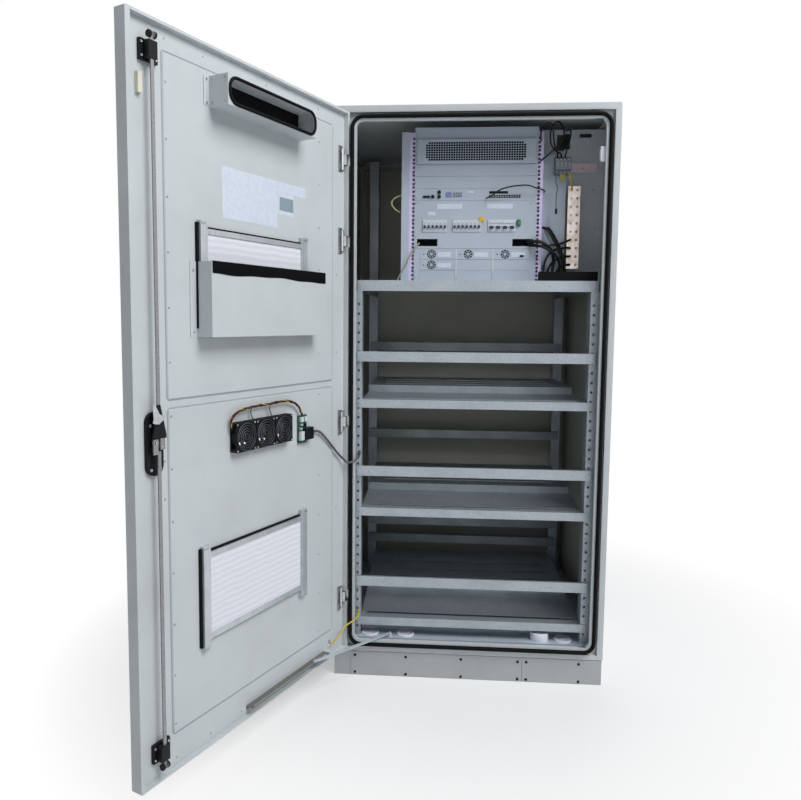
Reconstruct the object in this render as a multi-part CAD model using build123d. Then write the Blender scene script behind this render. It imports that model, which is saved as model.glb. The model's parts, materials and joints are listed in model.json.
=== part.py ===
"""Roadside utility cabinet with its door open.

Frame: origin at the centre of the plinth's base, +Z up, +X to the right along the front,
+Y from the front into the cabinet. All sizes are in millimetres.
"""
from build123d import *
from math import atan2, cos, degrees, hypot, radians, sin, tan
import os

os.makedirs("parts", exist_ok=True)

# Body
WIDTH = 1000.0
DEPTH = 900.0
HEIGHT = 2100.0
SHEET = 2.0
SEAT = 0.3
RUNNING = 0.06
PLINTH_HEIGHT = 95.0
PLINTH_INSET = 3.0
PLINTH_WALL = 3.0
PLINTH_FLANGE = 45.0
ANCHOR_RADIUS = 7.0
ANCHOR_EDGE = 24.0
COVER_SHEET = 2.4
COVER_SEAM_LEFT = 66.0
COVER_SEAM_RIGHT = 294.0
ROOF_SKIRT = 22.0
ROOF_RADIUS = 2.5
PANEL_RETURN = 19.0
PANEL_HEM = 24.0
FLOOR_RISE = 45.0
ENTRY_RADIUS = 30.0
CAP_RADIUS = 34.0

# Front frame, its rain lip and gasket
JAMB_SETBACK = 14.0
JAMB_FOLD = 8.0
HINGE_JAMB = 70.0
LATCH_JAMB = 43.0
LIP_SILL = 38.5
LIP_HEAD = 48.0
LIP_WIDTH = 9.0
LIP_FRONT = 8.0
LIP_DEPTH = 14.0
LIP_RADIUS = 32.0
GASKET_WIDTH = 12.7
GASKET_GAP = 0.4

# Door, modelled closed: s from the hinge edge, off from the inner rim plane, z up
DOOR_GAP = 4.0
HINGE_REVEAL = 3.0
LATCH_REVEAL = 4.0
DOOR_SILL = 19.0
DOOR_HEAD = 26.0
DOOR_THICKNESS = 36.0
DOOR_SHEET = 1.5
DOOR_CORNER = 4.0
RIM_HINGE = 14.0
RIM_LATCH = 16.0
RIM_TOP = 7.5
RIM_SILL = 5.0
RECESS = 16.0
PAD_RISE = 3.0
PAD_HINGE = 90.0
PAD_LATCH = 127.0
PAD_TOP = 64.0
PAD_SILL = 98.0
CROSSBAR_WIDTH = 25.0
LOUVRE_PITCH = 22.0
LOUVRE_SLOT = 8.0
DOOR_OPEN = 115.5

# Hinges
HINGE_IN = 25.5
HINGE_BACK = 16.1
HINGE_KNUCKLE = 7.0
HINGE_PIN = 4.0
KNUCKLE_HALF = 18.0
LEAF_KNUCKLE = 18.0
LEAF_GAP = 0.5
LEAF_HALF = 45.0
LEAF_REACH = 9.5
FLANGE_REACH = 24.0
FLANGE_THICK = 3.0
BRACKET_NEAR = 1.5
BRACKET_FAR = 15.5
NOTCH_WIDTH = 43.0
NOTCH_DEPTH = 29.0

# Inner steelwork
RACK_CENTRE = 10.0
UPRIGHT_WIDTH = 40.0
UPRIGHT_DEPTH = 50.0
UPRIGHT_FRONT = 40.0
HOLE_SIZE = 8.0
HOLE_PITCH = 35.0
HOLE_EDGE = 12.0
BEAM_HEIGHT = 39.0
BEAM_FRONT = 44.0
BEAM_HEM = 20.0
BEAM_SEAMS = (-257.0, 265.0)
SEAM_DEPTH = 0.9
DECK_OPENING = 180.0
SHELF_LIP = 31.0
SHELF_HEM = 12.0
SHELF_LAP = 19.0
SHELF_LEDGE = 300.0
SHELF_STEP = 28.0
SHELF_SLOT = 18.0
SHELF_SLOT_BACK = 40.0
BAR_HEIGHT = 37.0
BAR_DEPTH = 11.7
BAR_LAP = 19.0
RAIL_HEIGHT = 38.0
RAIL_DEPTH = 20.0
RAIL_LAP = 30.0

# Rack and its equipment
RACK_FRONT = 150.0
RACK_OPENING = 444.0
RACK_HOLE = 9.0
HOLE_INSET = 10.5
RAIL_FACE = 26.0
POST_FLANGE = 29.0
POST_STEP = 7.0
POST_DEPTH = 100.0
UNIT = 44.45
UNIT_GAP = 0.8
EAR = 6.0
SIDE_GAP = 3.0
EQUIPMENT_DEPTH = 240.0
SUBRACK_HEIGHT = 123.0
MODULE_PITCH = 138.0
MODULE_GAP = 6.0
MODULE_RISE = 40.2
MODULE_WALL = 2.0
MODULES = ((0, 0), (1, 0), (2, 0), (0, 1))
GRILLE_EDGE = 42.0
GRILLE_RADIUS = 17.0
VENT_PROUD = 10.0
PERFORATION = (24, 5)
PERFORATION_PITCH = (16.2, 13.2)
PERFORATION_HOLE = (12.0, 9.0)
BREAKERS_LEFT = -186.0
BREAKERS_RIGHT = -74.0
BREAKER_PITCH = 15.2
BREAKER_CENTRE = 84.0
BREAKER_DEPTH = 68.0
NOSE = 45.0
NOSE_PROUD = 3.0
MAIN_BREAKER = 58.0
MAIN_POLES = 4
MAIN_POLE = 25.4
HANDLE_HUB = 7.0
HANDLE_PIN = 2.0
HANDLE_REACH = 19.0
HANDLE_REST = 35.0
SLOT_LENGTH = 78.0
SLOT_HEIGHT = 27.0
WALL_PLATE_Y = 240.0
BAR_THICK = 5.0
BAR_STANDOFF = 34.0
SENSOR = (14.7, 15.0, 51.0)

# Door furniture
HOOD_DEPTH = 69.0
MOUTH_EDGE = 11.0
MOUTH_RADIUS = 28.0
GASKET_PROUD = 5.5
BOX_DEPTH = 56.0
TRIM_HEIGHT = 34.0
FILTER_FRONT = 2.0
FILTER_EDGE = 30.0
FILTER_HEAD = (36.0, 21.0)
FILTER_FOOT = (25.0, 42.0)
FILTER_GRIP = 21.0
MAGNET_TOP = -5.0

# Fans
FAN_SIZE = 88.0
FAN_PITCH = 91.0
FAN_DEPTH = 25.0
FAN_BORE = 40.0
FAN_HUB = 16.5
FAN_SHAFT = 2.0
BLADE_RAKE = 38.0

# Latch
HOUSING = (55.0, 165.0)
HOUSING_OFF = -6.0
NECK = (34.0, 120.0)
ESCUTCHEON = -42.0
SPINDLE = 6.0
CAM_SWEEP = 60.0
CAM_OFF = 0.0
CAM_THICK = 3.0
PIN_RADIUS = 3.0
SLOT_SLACK = 0.25
ROD_TRAVEL = 12.0
ROD_WIDTH = 10.0
ROD_THICK = 4.0
ROD_OFF = 7.5
ROD_START = 25.0
ROLLER_RADIUS = 9.0
ROLLER_WIDTH = 6.0
ROLLER_INSET = 16.5
GUSSET_TOP = 102.0
GUIDE_HEIGHT = 50.0
GUIDE_TOP = 13.0
HANDLE_EYE = -52.0
EYE_HALF = 7.0
HANDLE_AXLE = 3.0
HANDLE_HALF = 12.0
HANDLE_LENGTH = 128.0

# Stay arm and its channel
STAY_Y = 40.0
STAY_S = 225.0
STAY_OFF = 6.0
STAY_WIDTH = 14.0
STAY_THICK = 3.0
STAY_RISE = 9.0
CHANNEL = (139.0, 565.0)
CHANNEL_TOP = 147.0
CHANNEL_DROP = 13.0
CHANNEL_FRONT = 12.0

# Heights that keep their share of the door or the battery bay, as measured on the real ones
REAL_DOOR = 1960.0
REAL_BAY = 1348.0
CROSSBAR_RISE = 989.0
SHELF_RISES = {"top": 908.0, "middle": 498.0, "bottom": 73.0}
BAR_RISES = (217.0, 640.0, 1068.0)
RAIL_RISES = (156.0, 242.0, 666.0, 1081.0)

# Places worked out from the sizes above
FRONT = -DEPTH / 2
LEFT = -WIDTH / 2
RIGHT = WIDTH / 2
PANEL_TOP = HEIGHT - ROOF_SKIRT - SEAT
FLOOR = PLINTH_HEIGHT + FLOOR_RISE
JAMB_BACK = FRONT + JAMB_SETBACK + SHEET
LIP_X0 = LEFT + HINGE_JAMB
LIP_X1 = RIGHT - LATCH_JAMB
LIP_Z0 = PLINTH_HEIGHT + LIP_SILL
LIP_Z1 = HEIGHT - LIP_HEAD
DOOR_X0 = LEFT + HINGE_REVEAL
DOOR_WIDTH = WIDTH - HINGE_REVEAL - LATCH_REVEAL
DOOR_Z0 = PLINTH_HEIGHT + DOOR_SILL
DOOR_Z1 = HEIGHT - DOOR_HEAD
DOOR_MIDDLE = DOOR_WIDTH / 2
CROSSBAR_Z = DOOR_Z0 + CROSSBAR_RISE * (DOOR_Z1 - DOOR_Z0) / REAL_DOOR
HINGE_HEIGHTS = (DOOR_Z0 + 197, CROSSBAR_Z - 132, DOOR_Z1 - 452, DOOR_Z1 - 167)
SENSOR_Z = HEIGHT - 200
LINER = -RECESS
PAD = LINER + PAD_RISE
SKIN = -DOOR_THICKNESS
SKIN_INNER = SKIN + DOOR_SHEET
PIVOT_X = DOOR_X0 + HINGE_IN
PIVOT_Y = FRONT - DOOR_GAP - HINGE_BACK
LEAF_END = KNUCKLE_HALF + LEAF_GAP + LEAF_KNUCKLE
NOTCH_HALF = LEAF_END + 2.0
REAR_FRONT = DEPTH - 100
BAY_WIDTH = WIDTH - 174
BEAM_TOP = HEIGHT - 612
BEAM_X0 = LEFT + 78
BEAM_X1 = RIGHT - 50
BAY_SHARE = (BEAM_TOP - FLOOR) / REAL_BAY
SHELF_TOPS = {level: FLOOR + rise * BAY_SHARE for level, rise in SHELF_RISES.items()}
BAR_CENTRES = [FLOOR + rise * BAY_SHARE for rise in BAR_RISES]
REAR_RAILS = [FLOOR + rise * BAY_SHARE for rise in RAIL_RISES]
STAY_X = LEFT + 210
BAY_X0 = RACK_CENTRE - BAY_WIDTH / 2
BAY_X1 = RACK_CENTRE + BAY_WIDTH / 2
RACK_X0 = RACK_CENTRE - RACK_OPENING / 2
RACK_X1 = RACK_CENTRE + RACK_OPENING / 2
RACK_Y = FRONT + RACK_FRONT
RACK_BASE = BEAM_TOP + 3
POST_TOP = HEIGHT - 59
EQUIPMENT_X1 = RACK_X1 + 115
EQUIPMENT_Z = (BEAM_TOP + 40, BEAM_TOP + 474)
WALL_PLATE_Z0 = BEAM_TOP + 0.6
BAR_X = (EQUIPMENT_X1 + 13, EQUIPMENT_X1 + 59)
BAR_Z = (BEAM_TOP + 55, BEAM_TOP + 364)
CAM_ARM = ROD_TRAVEL / (2 * sin(radians(CAM_SWEEP / 2)))
ROLLER_TOP = LIP_Z1 - LIP_WIDTH - ROLLER_INSET
ROLLER_SILL = LIP_Z0 + LIP_WIDTH + ROLLER_INSET
GUIDE_HEIGHTS = (
    (ROLLER_SILL + ROLLER_RADIUS + 2, ROLLER_SILL + ROLLER_RADIUS + 2 + GUIDE_HEIGHT),
    (ROLLER_TOP - ROLLER_RADIUS - 2 - GUIDE_HEIGHT, ROLLER_TOP - ROLLER_RADIUS - 2),
)

# Places on the door, the boxes as hinge side, latch side, bottom, top
HOOD = (DOOR_MIDDLE - 206.5, DOOR_MIDDLE + 204.5, DOOR_Z1 - 161, DOOR_Z1 - 79)
PAPER_BOX = (DOOR_MIDDLE - 281.5, DOOR_MIDDLE + 261.5, CROSSBAR_Z + 188, CROSSBAR_Z + 391)
UPPER_FILTER = (DOOR_MIDDLE - 234.5, DOOR_MIDDLE + 257.5, CROSSBAR_Z + 203, CROSSBAR_Z + 503)
LOWER_FILTER = (DOOR_MIDDLE - 230.5, DOOR_MIDDLE + 261.5, DOOR_Z0 + 291, DOOR_Z0 + 591)
MAGNET = (DOOR_WIDTH - 54, DOOR_WIDTH - 40, DOOR_Z1 - 189, DOOR_Z1 - 139)
FAN_S = DOOR_MIDDLE - 1.5
FAN_Z = CROSSBAR_Z - 108
FAN_BOARD = (DOOR_MIDDLE - 239.5, DOOR_MIDDLE - 193.5, CROSSBAR_Z - 173, CROSSBAR_Z - 78)
LATCH_S = DOOR_WIDTH - 73.5
LATCH_Z = CROSSBAR_Z - 83

# Routes of the leads: points by hand, in cabinet places or, on the door, as s, off, z
HARNESS = ((634.5, 1020), (640, 1043), (626, 1064), (597, 1074), (559, 1077), (514, 1080),
           (469, 1078), (420, 1082), (372, 1081), (330, 1070), (303, 1051), (291, 1026))
HARNESS_OFF = 0.0
BRANCHES = ((548, 1078, 535), (458, 1078, 444))
FAN_LEAD = ((236, -4, 961), (213, -2, 964), (181, -3, 955), (146, -5, 930), (103, -5, 893),
            (66, -5, 860), (30, -3, 834))
FAN_LEAD_END = ((-446, -482, 820), (-425, -476, 826), (-408, -452, 838), (-407, -426, 848),
                (-411, -412, 852))
EARTH_LEAD = ((104, -9, 160), (94, 2, 168), (72, 9, 184), (48, 7, 199))
EARTH_LEAD_END = ((-446, -483, 210), (-425, -475, 220), (-408, -452, 230), (-407, -427, 236),
                  (-411, -412, 240))
FIXED_LEADS = (
    (((-269, -298, 1812), (-290, -300, 1806), (-309, -302, 1783), (-292, -300, 1757),
      (-269, -298, 1747)), 6.0),
    (((205, -303, 1636), (232, -326, 1640), (266, -330, 1630), (296, -318, 1605),
      (305, -300, 1566), (300, -296, 1527), (302, -294, 1489)), 12.0),
    (((212, -303, 1630), (244, -336, 1622), (282, -338, 1606), (316, -322, 1580),
      (328, -306, 1545), (322, -300, 1514), (324, -297, 1489)), 10.0),
    (((-198, -298, 1634), (-206, -315, 1625), (-233, -316, 1588), (-247, -315, 1548),
      (-270, -314, 1516), (-282, -310, 1489)), 5.0),
    (((50, -303.5, 1799), (56, -318, 1800), (74, -328, 1808), (94, -331, 1824), (123, -331, 1834),
      (160, -331, 1840), (201, -330, 1842), (228, -327, 1832), (252, -318, 1828),
      (266, -296, 1827), (268, -271, 1827)), 5.0),
    (((308, -293, 1894), (308, -304, 1889), (301, -306, 1856), (313, -306, 1834),
      (305, -305, 1806), (308, -304, 1752)), 3.0),
)


def block(x0, x1, y0, y1, z0, z1):
    """A box between two opposite corners."""
    centre = ((x0 + x1) / 2, (y0 + y1) / 2, (z0 + z1) / 2)
    return Pos(*centre) * Box(abs(x1 - x0), abs(y1 - y0), abs(z1 - z0))


def rod(x, y, z0, z1, radius):
    """An upright cylinder."""
    return Pos(x, y, (z0 + z1) / 2) * Cylinder(radius, abs(z1 - z0))


def rod_y(x, z, y0, y1, radius):
    """A cylinder along Y."""
    return Pos(x, (y0 + y1) / 2, z) * Rot(90, 0, 0) * Cylinder(radius, y1 - y0)


def rod_x(y, z, x0, x1, radius):
    """A cylinder along X."""
    return Pos((x0 + x1) / 2, y, z) * Rot(0, 90, 0) * Cylinder(radius, x1 - x0)


def rounded(x0, x1, z0, z1, radius, y0, y1):
    """An upright plate with rounded corners, between two planes across Y."""
    outline = Plane.XZ.offset(-y0) * Pos((x0 + x1) / 2, (z0 + z1) / 2) * RectangleRounded(
        x1 - x0, z1 - z0, radius
    )
    return extrude(outline, -(y1 - y0))


def folded(points, thickness, z0, z1):
    """A sheet folded along upright lines: its section's outer points, then its thickness."""
    outline = offset_strip(points, thickness)
    face = make_face(Polyline(*outline, close=True))
    return extrude(Pos(0, 0, z0) * face, z1 - z0)


def folded_x(points, thickness, x0, x1):
    """A sheet folded along lines parallel to X, from a section in Y and Z."""
    outline = offset_strip(points, thickness)
    face = make_face(Polyline(*outline, close=True))
    return extrude(Plane.YZ.offset(x0) * face, x1 - x0)


def offset_strip(points, thickness):
    """The outline of a strip that has the given points on its right-hand side."""
    inner = []
    for i, point in enumerate(points):
        before = points[max(i - 1, 0)]
        after = points[min(i + 1, len(points) - 1)]
        first = direction(before, point) if i > 0 else direction(point, after)
        second = direction(point, after) if i < len(points) - 1 else first
        nx, ny = -first[1] - second[1], first[0] + second[0]
        scale = thickness * 2 / (nx * nx + ny * ny)
        inner.append((point[0] + nx * scale, point[1] + ny * scale))
    return list(points) + inner[::-1]


def direction(a, b):
    """The unit vector from a to b."""
    length = hypot(b[0] - a[0], b[1] - a[1])
    return ((b[0] - a[0]) / length, (b[1] - a[1]) / length)


def cable(points, diameter):
    """A cable as straight runs joined by arcs that are as large as the runs allow."""
    runs = [Vector(*b) - Vector(*a) for a, b in zip(points, points[1:])]
    radii = []
    for first, second in zip(runs, runs[1:]):
        half_turn = radians(first.get_angle(second)) / 2
        radii.append(0.45 * min(first.length, second.length) / tan(half_turn))
    path = FilletPolyline(*points, radius=radii)
    start = Plane(origin=path @ 0, z_dir=path % 0)
    tube = sweep(start * Circle(diameter / 2), path=path)
    print("cable", round(path.length), "mm, radii", [round(r) for r in radii])
    return tube


def group(*solids):
    """Separate solids that share one node."""
    flat = []
    for item in solids:
        flat += item.solids()
    return Compound(children=flat)


def on_door(shape):
    """Places a shape modelled in the door's own coordinates, with the door open."""
    closed = Pos(DOOR_X0, FRONT - DOOR_GAP, 0)
    swing = Pos(PIVOT_X, PIVOT_Y, 0) * Rot(0, 0, -DOOR_OPEN) * Pos(-PIVOT_X, -PIVOT_Y, 0)
    return swing * closed * shape


# Plinth


def plinth_frame():
    x, y0, y1 = WIDTH / 2 - PLINTH_INSET, FRONT + PLINTH_INSET, -FRONT - PLINTH_INSET
    wall = PLINTH_WALL
    ring = block(-x, x, y0, y1, 0, PLINTH_HEIGHT)
    ring -= block(-x + wall, x - wall, y0 + wall, y1 - wall, wall, PLINTH_HEIGHT - wall)
    lip = wall + PLINTH_FLANGE
    ring -= block(-x + lip, x - lip, y0 + lip, y1 - lip, -1, PLINTH_HEIGHT + 1)
    seam_left, seam_right = LEFT + COVER_SEAM_LEFT, RIGHT - COVER_SEAM_RIGHT
    margin = 25.0
    for a, b in ((seam_left, seam_right), (seam_right, x)):
        ring -= block(a + margin, b - margin, y0 - 1, y0 + wall + 1, 18, PLINTH_HEIGHT - 18)
    for sx in (-1, 1):
        for sy in (-1, 1):
            ring -= rod(sx * (x - ANCHOR_EDGE), sy * (y1 - ANCHOR_EDGE), -1, wall + 1, ANCHOR_RADIUS)
    return ring


def plinth_covers():
    y1 = FRONT + PLINTH_INSET - SEAT
    seam_left, seam_right = LEFT + COVER_SEAM_LEFT, RIGHT - COVER_SEAM_RIGHT
    edge = WIDTH / 2 - PLINTH_INSET
    half_seam = 0.8
    left = block(seam_left, seam_right - half_seam, y1 - COVER_SHEET, y1, 2, PLINTH_HEIGHT - 2)
    right = block(seam_right + half_seam, edge, y1 - COVER_SHEET, y1, 2, PLINTH_HEIGHT - 2)
    return group(left, right)


# Body panels


def side_panel(side):
    """A side wall with top and rear returns, and on the latch side a front return as well."""
    x_out, y0, y1 = side * WIDTH / 2, FRONT, -FRONT - SHEET - SEAT
    z0 = PLINTH_HEIGHT + SEAT
    x_in = x_out - side * PANEL_RETURN
    if side < 0:
        section = [(x_in, y1), (x_out, y1), (x_out, y0)]
    else:
        section = [(x_in, y0), (x_out, y0), (x_out, y1), (x_in, y1)]
    panel = folded(section, SHEET, z0, PANEL_TOP)
    top0 = JAMB_BACK + JAMB_FOLD + SEAT
    panel += block(min(x_in, x_out), max(x_in, x_out), top0, y1, PANEL_TOP - SHEET, PANEL_TOP)
    return panel


def back_panel():
    """The rear wall with a stiffening hem that faces inwards."""
    x, y1 = WIDTH / 2 - SEAT, -FRONT
    z0 = PLINTH_HEIGHT + SEAT
    inset = PANEL_RETURN + SHEET
    x_hem, z0_hem, z1_hem = x - inset, z0 + inset, PANEL_TOP - inset
    panel = block(-x, x, y1 - SHEET, y1, z0, PANEL_TOP)
    panel += block(-x_hem, x_hem, y1 - PANEL_HEM, y1 - SHEET, z0_hem, z1_hem)
    panel -= block(-x_hem + SHEET, x_hem - SHEET, y1 - PANEL_HEM - 1, y1 - SHEET,
                   z0_hem + SHEET, z1_hem - SHEET)
    return panel


def roof_cover():
    """A pressed pan with rounded edges and a return round its foot."""
    x, y, z0 = WIDTH / 2, DEPTH / 2, HEIGHT - ROOF_SKIRT
    top = block(-x, x, -y, y, z0, HEIGHT)
    top = fillet(top.edges().filter_by(Axis.Z) + top.faces().sort_by(Axis.Z)[-1].edges(), ROOF_RADIUS)
    top -= block(-x + SHEET, x - SHEET, -y + SHEET, y - SHEET, z0 + SHEET, HEIGHT - SHEET)
    lip = PANEL_RETURN
    top -= block(-x + lip, x - lip, -y + lip, y - lip, z0 - 1, z0 + SHEET + 1)
    return top


def plug_places():
    """Centres of the cable entries in the floor, with the height of each cap."""
    row = FRONT + 66.0
    return ((LEFT + 133, row, 6.0), (LEFT + 269, row, 6.0), (RIGHT - 223, row, 30.0), (RIGHT - 136, row, 6.0))


def floor_pan():
    """The tray over the plinth, with the cable entries and the stay's pivot stud."""
    x, y0, y1 = WIDTH / 2 - SHEET - SEAT, JAMB_BACK + JAMB_FOLD + SEAT, -FRONT - PANEL_HEM - 2
    pan = block(-x, x, y0, y1, PLINTH_HEIGHT + SEAT, FLOOR)
    pan -= block(-x + SHEET, x - SHEET, y0 + SHEET, y1 - SHEET, PLINTH_HEIGHT, FLOOR - SHEET)
    for px, py, _ in plug_places():
        pan -= rod(px, py, FLOOR - SHEET - 1, FLOOR + 1, ENTRY_RADIUS)
    top = FLOOR + STAY_RISE - SEAT
    y = FRONT + STAY_Y
    pan += rod(STAY_X, y, FLOOR - SHEET, top, 9.0)
    pan += rod(STAY_X, y, FLOOR, top + STAY_THICK + 4.0, HINGE_PIN)
    return pan


def cable_entry_plugs():
    plugs = []
    for px, py, height in plug_places():
        cap = rod(px, py, FLOOR + SEAT, FLOOR + SEAT + height, CAP_RADIUS)
        cap = fillet(cap.edges().sort_by(Axis.Z)[-1:], 2.0)
        neck = rod(px, py, FLOOR - 14, FLOOR + SEAT, ENTRY_RADIUS - 1.0)
        plugs.append(cap + neck)
    return group(*plugs)


# Front frame


def lip_plate(inset, y0, y1):
    """A rounded plate as large as the lip less an inset, between two depths behind the front."""
    return rounded(LIP_X0 + inset, LIP_X1 - inset, LIP_Z0 + inset, LIP_Z1 - inset,
                   LIP_RADIUS - inset, FRONT + y0, FRONT + y1)


def front_frame():
    """The jamb plate, its edge folds, and the hollow rain lip round the opening."""
    x0, x1 = LEFT + SHEET + SEAT, RIGHT - PANEL_RETURN - SEAT
    z0, z1 = PLINTH_HEIGHT + SEAT, PANEL_TOP
    jamb, sill_top = FRONT + JAMB_SETBACK, DOOR_Z0 - 1.0
    frame = block(x0, x1, jamb, JAMB_BACK, z0, z1)
    frame += block(x0, x0 + SHEET, jamb, JAMB_BACK + JAMB_FOLD, z0, z1)
    frame += block(x1 - SHEET, x1, FRONT, JAMB_BACK, z0, z1)
    frame += block(x0, x1, FRONT, JAMB_BACK, z1 - SHEET, z1)
    frame += block(x0, x1, FRONT, FRONT + SHEET, z0, sill_top)
    frame += block(x0, x1, FRONT, JAMB_BACK, sill_top - SHEET, sill_top)
    depth = JAMB_BACK - FRONT
    frame -= lip_plate(SHEET, -1, depth + 1)
    lip = lip_plate(0, -LIP_FRONT, depth) - lip_plate(SHEET, SHEET - LIP_FRONT, depth + 1)
    lip -= lip_plate(LIP_WIDTH, -LIP_FRONT - 1, depth)
    inner = lip_plate(LIP_WIDTH - SHEET, -LIP_FRONT, LIP_DEPTH - LIP_FRONT)
    inner -= lip_plate(LIP_WIDTH, -LIP_FRONT - 1, LIP_DEPTH)
    return frame + lip + (inner - strike_windows())


def strike_windows():
    """Openings in the lip's inner wall, where the rod rollers go in behind its face."""
    x, half = DOOR_X0 + LATCH_S, ROD_WIDTH / 2 + ROLLER_WIDTH + 4.0
    y0, y1 = FRONT + SHEET - LIP_FRONT, FRONT + LIP_DEPTH
    reach = LIP_WIDTH + 12.0
    low = block(x - half, x + half, y0, y1, LIP_Z0 + SHEET, LIP_Z0 + reach)
    high = block(x - half, x + half, y0, y1, LIP_Z1 - reach, LIP_Z1 - SHEET)
    return low + high


def frame_gasket():
    y0 = -DOOR_GAP - RECESS + GASKET_GAP
    y1 = JAMB_SETBACK - SEAT
    ring = lip_plate(-GASKET_WIDTH - SEAT, y0, y1) - lip_plate(-SEAT, y0 - 1, y1 + 1)
    return ring


# Uprights, rails, shelves


def upright(x_in, side, y0, z0, z1, holes):
    """A C-section post; side is the way its open back faces along X."""
    x_far = x_in + side * UPRIGHT_WIDTH
    y1 = y0 + UPRIGHT_DEPTH
    section = [(x_far, y0), (x_in, y0), (x_in, y1), (x_far, y1)]
    post = folded(section, -side * SHEET, z0, z1)
    if holes:
        x_hole = x_in + side * HOLE_EDGE
        half = HOLE_SIZE / 2
        heights = [z0 + HOLE_PITCH * (i + 1) for i in range(int((z1 - z0) / HOLE_PITCH) - 1)]
        post -= [block(x_hole - half, x_hole + half, y0 - 1, y0 + SHEET + 1, z - half, z + half)
                 for z in heights]
    return post


def uprights():
    z0, beam = FLOOR + SEAT, BEAM_TOP - BEAM_HEIGHT - SEAT
    front, rear = FRONT + UPRIGHT_FRONT, FRONT + REAR_FRONT
    return group(
        upright(BAY_X0, -1, front, z0, beam, True),
        upright(BAY_X1, 1, front, z0, beam, True),
        upright(BAY_X0, -1, rear, z0, HEIGHT - ROOF_SKIRT, False),
        upright(BAY_X1, 1, rear, z0, HEIGHT - ROOF_SKIRT, False),
    )


def frame_rails():
    """Cross rails between the rear posts, and a pair from front to back under the deck."""
    rails = []
    y1 = FRONT + REAR_FRONT - SEAT
    for z in REAR_RAILS:
        section = [(y1, z + RAIL_HEIGHT / 2), (y1 - RAIL_DEPTH, z + RAIL_HEIGHT / 2),
                   (y1 - RAIL_DEPTH, z - RAIL_HEIGHT / 2), (y1, z - RAIL_HEIGHT / 2)]
        rails.append(folded_x(section, SHEET, BAY_X0 - RAIL_LAP, BAY_X1 + RAIL_LAP))
    y0 = FRONT + UPRIGHT_FRONT + UPRIGHT_DEPTH + SEAT
    top = BEAM_TOP - SHEET - SEAT
    for x, side in ((BAY_X0, -1), (BAY_X1, 1)):
        angle = block(x, x + side * SHEET, y0, y1, top - RAIL_HEIGHT, top)
        angle += block(x, x + side * UPRIGHT_WIDTH, y0, y1, top - SHEET, top)
        rails.append(angle)
    return group(*rails)


def mid_beam():
    """The deck that carries the rack, folded down into the beam across the front."""
    y0, y1 = FRONT + BEAM_FRONT, FRONT + REAR_FRONT - SEAT
    z0 = BEAM_TOP - BEAM_HEIGHT
    section = [(y1, BEAM_TOP), (y0, BEAM_TOP), (y0, z0), (y0 + BEAM_HEM, z0)]
    deck = folded_x(section, SHEET, BEAM_X0, BEAM_X1)
    for x in BEAM_SEAMS:
        deck -= block(x - 1, x + 1, y0 - 1, y0 + SEAM_DEPTH, z0 - 1, BEAM_TOP + 1)
    hole = DECK_OPENING
    deck -= block(RACK_X0, RACK_X1, RACK_Y + hole, RACK_Y + 2 * hole, BEAM_TOP - 5, BEAM_TOP + 1)
    return deck


def battery_shelf(level):
    """A shelf folded from one sheet: front lip, slotted ledge, riser and raised tray."""
    top = SHELF_TOPS[level]
    y0 = FRONT + UPRIGHT_FRONT - SEAT - SHEET
    y1 = FRONT + REAR_FRONT - RAIL_DEPTH - SEAT - 2.0
    riser = y0 + SHELF_LEDGE
    section = [(y1, top + SHELF_STEP), (riser, top + SHELF_STEP), (riser, top), (y0, top),
               (y0, top - SHELF_LIP), (y0 + SHELF_HEM, top - SHELF_LIP)]
    shelf = folded_x(section, SHEET, BAY_X0 - SHELF_LAP, BAY_X1 + SHELF_LAP)
    inner0, inner1 = BAY_X0 + SEAT, BAY_X1 - SEAT
    behind = y0 + SHEET
    shelf -= block(BAY_X0 - 99, inner0, behind, y1 + 1, top - 99, top + 99)
    shelf -= block(inner1, BAY_X1 + 99, behind, y1 + 1, top - 99, top + 99)
    for x in (inner0, inner1 - SHEET):
        shelf += block(x, x + SHEET, behind, riser + 1, top - SHELF_LIP, top)
        shelf += block(x, x + SHEET, riser, y1, top - SHELF_LIP, top + SHELF_STEP)
    slot0 = y0 + SHELF_SLOT_BACK
    shelf -= block(inner0 + 22, inner1 - 22, slot0, slot0 + SHELF_SLOT, top - SHEET - 1, top + 1)
    for i in range(3):
        y = riser + 70 + i * 100
        shelf -= block(inner0 + 60, inner1 - 60, y, y + SHELF_SLOT, top, top + SHELF_STEP + 1)
    return shelf


def retaining_bars():
    bars = []
    y1 = FRONT + UPRIGHT_FRONT - SEAT
    for z in BAR_CENTRES:
        z0, z1 = z - BAR_HEIGHT / 2, z + BAR_HEIGHT / 2
        section = [(y1, z1), (y1 - BAR_DEPTH, z1), (y1 - BAR_DEPTH, z0), (y1, z0)]
        bars.append(folded_x(section, SHEET, BAY_X0 - BAR_LAP, BAY_X1 + BAR_LAP))
    return group(*bars)


# Rack


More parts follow.
